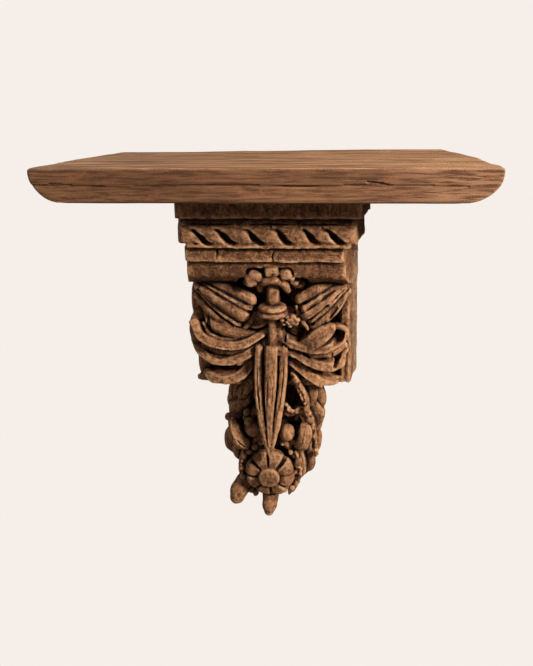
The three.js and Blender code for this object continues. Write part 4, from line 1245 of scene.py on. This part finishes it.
def corbel_wood():
    p = Paint("corbel_wood")
    place = p.parts(p.coords)

    def between(start_drop, end_drop):
        """A mask that comes in between two drops below the block's top."""
        return p.ramp(place[2], (block_top - start_drop) * MM, (block_top - end_drop) * MM)

    wide = p.noise(p.coords, 16, 3, 0.6)
    patch = p.noise(p.coords, 42, 4, 0.6)
    blotch = p.noise(p.coords, 130, 4, 0.62)
    fleck = p.noise(p.coords, 330, 5, 0.7)
    speck = p.noise(p.coords, 900, 3, 0.6)
    streak = p.noise(p.stretched((1, 1, 0.05)), 1100, 3, 0.6)
    # The grain runs along the roll and the band, and upright on the abacus and below the band
    abacus = between(30, 20)
    upright = p.math("MAXIMUM", abacus, between(84, 96))
    level_grain = p.noise(p.stretched((0.12, 1, 1)), 480, 6, 0.66, 1.0)
    grain = p.blend(upright, level_grain, p.noise(p.stretched((1, 1, 0.10)), 480, 6, 0.66, 1.4))
    # Brown wood in patches of several sizes, paler on the plain right margin
    margin = p.times(p.ramp(place[0], 0.084, 0.090), between(50, 90))
    p.colour = p.mix(p.ramp(wide, 0.36, 0.64), shade(94, 57, 36), shade(126, 82, 52))
    p.tint(p.ramp(patch, 0.48, 0.64), 0.8, (158, 110, 72))
    p.tint(p.ramp(blotch, 0.50, 0.64), 0.75, (78, 45, 27))
    p.tint(margin, 0.7, (168, 134, 106))
    p.tint(p.ramp(fleck, 0.52, 0.60), 0.72, (52, 30, 18))
    p.tint(p.ramp(fleck, 0.46, 0.34), 0.45, (190, 144, 98))
    # Grain, streaks, specks and fine cracks
    p.tint(p.ramp(grain, 0.56, 0.36), 0.85, (64, 37, 22))
    strength = p.plus(0.34, p.times(p.math("MAXIMUM", abacus, margin), 0.5))
    p.tint(p.ramp(streak, 0.56, 0.72), strength, (40, 23, 14))
    p.tint(p.ramp(speck, 0.58, 0.76), 0.4, (186, 142, 100))
    crack = p.noise(p.stretched((1, 1, 0.3)), 75, 2, 0.5, 0.8)
    crack = p.math("ABSOLUTE", p.math("SUBTRACT", crack, 0.5))
    crack = p.times(p.ramp(crack, 0.010, 0.003), p.ramp(patch, 0.48, 0.6))
    p.tint(crack, 0.8, (26, 15, 9))
    # Worn edges, dust in the deep places, and a painted highlight on the faces that stand proud
    p.tint(p.times(p.ramp(p.layer("worn"), 0.46, 0.36), p.ramp(blotch, 0.36, 0.58)), 0.7, (190, 148, 114))
    dusty = p.ramp(p.noise(p.coords, 60, 3, 0.6), 0.54, 0.66)
    p.tint(p.times(p.ramp(p.layer("deep"), 0.5, 0.6), dusty), 0.34, (100, 84, 72))
    # Painted highlight: the faces that stand proud of the recesses are painted paler, where light falls
    proud_highlight = p.times(p.ramp(p.layer("deep"), 0.47, 0.30), p.ramp(p.layer("worn"), 0.53, 0.49))
    proud_highlight = p.times(proud_highlight, p.ramp(p.noise(p.coords, 210, 6, 0.75), 0.40, 0.58))
    p.tint(proud_highlight, 0.52, (198, 143, 101))
    # Painted shade: the hollows and creases are painted near black, where shade falls
    deep = p.ramp(p.layer("deep"), 0.55, 0.70)
    crease = p.times(p.ramp(p.layer("worn"), 0.55, 0.65), 0.7)
    hollow = p.math("MAXIMUM", p.ramp(p.layer("hollow"), 0.51, 0.65), crease)
    p.tint(p.rest(p.times(p.rest(hollow), p.rest(deep))), 0.96, (13, 8, 5))
    height = p.plus(p.times(grain, 0.7), p.times(speck, 0.25))
    height = p.plus(height, p.plus(p.times(blotch, 0.8), p.times(fleck, 0.9)))
    height = p.math("SUBTRACT", height, p.times(crack, 0.8))
    return p.finish(p.plus(0.54, p.times(patch, 0.3)), height, 0.95, 0.0024)


def board_wood():
    p = Paint("board_wood")
    wide = p.noise(p.stretched((0.35, 1, 1)), 14, 3, 0.6)
    bands = p.noise(p.stretched((0.06, 0.9, 1)), 150, 5, 0.68, 1.4)
    drift = p.noise(p.stretched((0.05, 0.75, 1)), 170, 5, 0.72, 0.8)
    grain = p.noise(p.stretched((0.07, 1, 1)), 460, 6, 0.62, 0.5)
    streak = p.ramp(p.noise(p.stretched((0.04, 1, 1)), 1200, 3, 0.6), 0.58, 0.74)
    speck = p.noise(p.coords, 700, 3, 0.6)
    # Painted light: the top is painted paler than the edges, as lit from above
    p.colour = p.mix(p.ramp(drift, 0.42, 0.58), shade(190, 145, 108), shade(122, 85, 58))
    p.tint(p.ramp(bands, 0.52, 0.66), 0.5, (112, 76, 52))
    p.tint(p.ramp(grain, 0.6, 0.36), 0.5, (124, 86, 58))
    painted_light_top = p.colour
    # Brown wood with bands, grain and streaks along it
    p.colour = p.mix(p.ramp(wide, 0.34, 0.66), shade(104, 69, 46), shade(130, 90, 62))
    p.tint(p.ramp(bands, 0.42, 0.68), 0.7, (84, 54, 36))
    p.tint(p.ramp(grain, 0.58, 0.36), 0.8, (64, 40, 27))
    p.tint(streak, 0.5, (44, 27, 18))
    p.tint(p.ramp(p.noise(p.stretched((0.5, 1, 1)), 60, 5, 0.7), 0.54, 0.68), 0.4, (150, 92, 62))
    # The right end is paler, and so are worn edges, while the seam and the splits are dark
    pale_end = p.times(p.ramp(p.parts(p.coords)[0], 0.09, 0.20), p.ramp(grain, 0.38, 0.58))
    p.tint(pale_end, 0.3, (172, 128, 98))
    p.tint(p.ramp(speck, 0.58, 0.76), 0.4, (160, 120, 86))
    p.tint(p.times(p.ramp(p.layer("worn"), 0.47, 0.36), p.ramp(speck, 0.3, 0.6)), 0.42, (170, 128, 96))
    p.tint(p.ramp(p.layer("hollow"), 0.53, 0.70), 0.75, (28, 16, 10))
    # Faces that point up take the paler top colour: painted light from above
    upward = p.parts(p.add("ShaderNodeNewGeometry").outputs["Normal"])[2]
    p.colour = p.mix(p.times(p.ramp(upward, 0.6, 0.95), 0.85), p.colour, painted_light_top)
    height = p.plus(p.times(grain, 0.7), p.times(speck, 0.15))
    height = p.math("SUBTRACT", height, p.times(streak, 0.3))
    return p.finish(p.plus(0.74, p.times(bands, 0.2)), height, 0.4, 0.001)


corbel_piece.data.materials.clear()
corbel_piece.data.materials.append(corbel_wood())
board_piece.data.materials.clear()
board_piece.data.materials.append(board_wood())

for piece, cad_node, slot_name in (
    (corbel_piece, "carved_corbel", "corbel_wood"),
    (board_piece, "shelf_board", "board_wood"),
):
    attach(piece, "root")
    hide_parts(cad_node)


# Stage, light and camera

def seen_and_lit(nodes, links, seen, lit, output):
    """Shows one shader to the camera and lights the object with the other."""
    mixed = node(nodes, "ShaderNodeMixShader")
    links.new(node(nodes, "ShaderNodeLightPath").outputs["Is Camera Ray"], mixed.inputs[0])
    links.new(lit.outputs[0], mixed.inputs[1])
    links.new(seen.outputs[0], mixed.inputs[2])
    links.new(mixed.outputs[0], node(nodes, output).inputs["Surface"])


def coloured(nodes, kind, colour):
    made = node(nodes, kind)
    made.inputs["Color"].default_value = colour
    return made


def stage():
    """A plain pale floor and room: seen, they are one even colour; lighting, they are a soft dim fill."""
    pale = shade(246, 239, 233)
    floor_material, nodes, links = shader("pale_floor")
    seen = coloured(nodes, "ShaderNodeEmission", pale)
    lit = coloured(nodes, "ShaderNodeBsdfDiffuse", shade(200, 190, 180))
    seen_and_lit(nodes, links, seen, lit, "ShaderNodeOutputMaterial")
    data = bpy.data.meshes.new("floor")
    reach, drop = 30.0, -1.6
    corners = [(-reach, -reach, drop), (reach, -reach, drop), (reach, reach, drop), (-reach, reach, drop)]
    data.from_pydata(corners, [], [(0, 1, 2, 3)])
    data.materials.append(floor_material)
    floor = bpy.data.objects.new("floor", data)
    bpy.context.scene.collection.objects.link(floor)
    world = bpy.data.worlds.new("pale_room")
    bpy.context.scene.world = world
    world.use_nodes = True
    nodes, links = world.node_tree.nodes, world.node_tree.links
    nodes.clear()
    seen = coloured(nodes, "ShaderNodeBackground", pale)
    lit = coloured(nodes, "ShaderNodeBackground", pale)
    lit.inputs["Strength"].default_value = 0.15
    seen_and_lit(nodes, links, seen, lit, "ShaderNodeOutputWorld")


def lamp(name, place, size, power, aim=(0, -0.08, 0)):
    data = bpy.data.lights.new(name, "AREA")
    data.shape = "SQUARE"
    data.size = size
    data.energy = power
    data.color = (1.0, 0.965, 0.90)
    made = bpy.data.objects.new(name, data)
    made.location = place
    made.rotation_mode = "QUATERNION"
    made.rotation_quaternion = (Vector(aim) - Vector(place)).to_track_quat("-Z", "Y")
    bpy.context.scene.collection.objects.link(made)


def camera():
    """The camera that took the photograph: where it stood, how it was turned, how it was framed."""
    stood = Vector((76.1, -804.5, board_top + 62.7)) * MM
    pitch, yaw, roll = (math.radians(a) for a in (11.66, 3.32, -0.40))
    frame_height, focal, shift_right, shift_down = 666, 646.6, 40, 100
    data = bpy.data.cameras.new("camera")
    data.sensor_width = 36
    data.sensor_fit = "AUTO"
    data.lens = focal / frame_height * data.sensor_width
    data.shift_x = -shift_right / frame_height
    data.shift_y = -shift_down / frame_height
    data.clip_start = 0.05
    data.clip_end = 100
    made = bpy.data.objects.new("camera", data)
    ahead = Vector((
        -math.sin(yaw) * math.cos(pitch), math.cos(yaw) * math.cos(pitch), -math.sin(pitch),
    ))
    right = ahead.cross(Vector((0, 0, 1))).normalized()
    up = right.cross(ahead)
    right, up = right * math.cos(roll) + up * math.sin(roll), up * math.cos(roll) - right * math.sin(roll)
    made.matrix_world = Matrix((
        (right.x, up.x, -ahead.x, stood.x), (right.y, up.y, -ahead.y, stood.y),
        (right.z, up.z, -ahead.z, stood.z), (0, 0, 0, 1),
    ))
    bpy.context.scene.collection.objects.link(made)
    bpy.context.scene.camera = made


stage()
lamp("key", (1.15, -0.90, 0.72), 0.26, 54)
lamp("fill", (-0.5, -2.2, 0.3), 1.0, 4.8)
lamp("rim", (-1.3, 0.75, 0.5), 1.4, 11)
camera()
bpy.context.scene.view_settings.view_transform = "Standard"
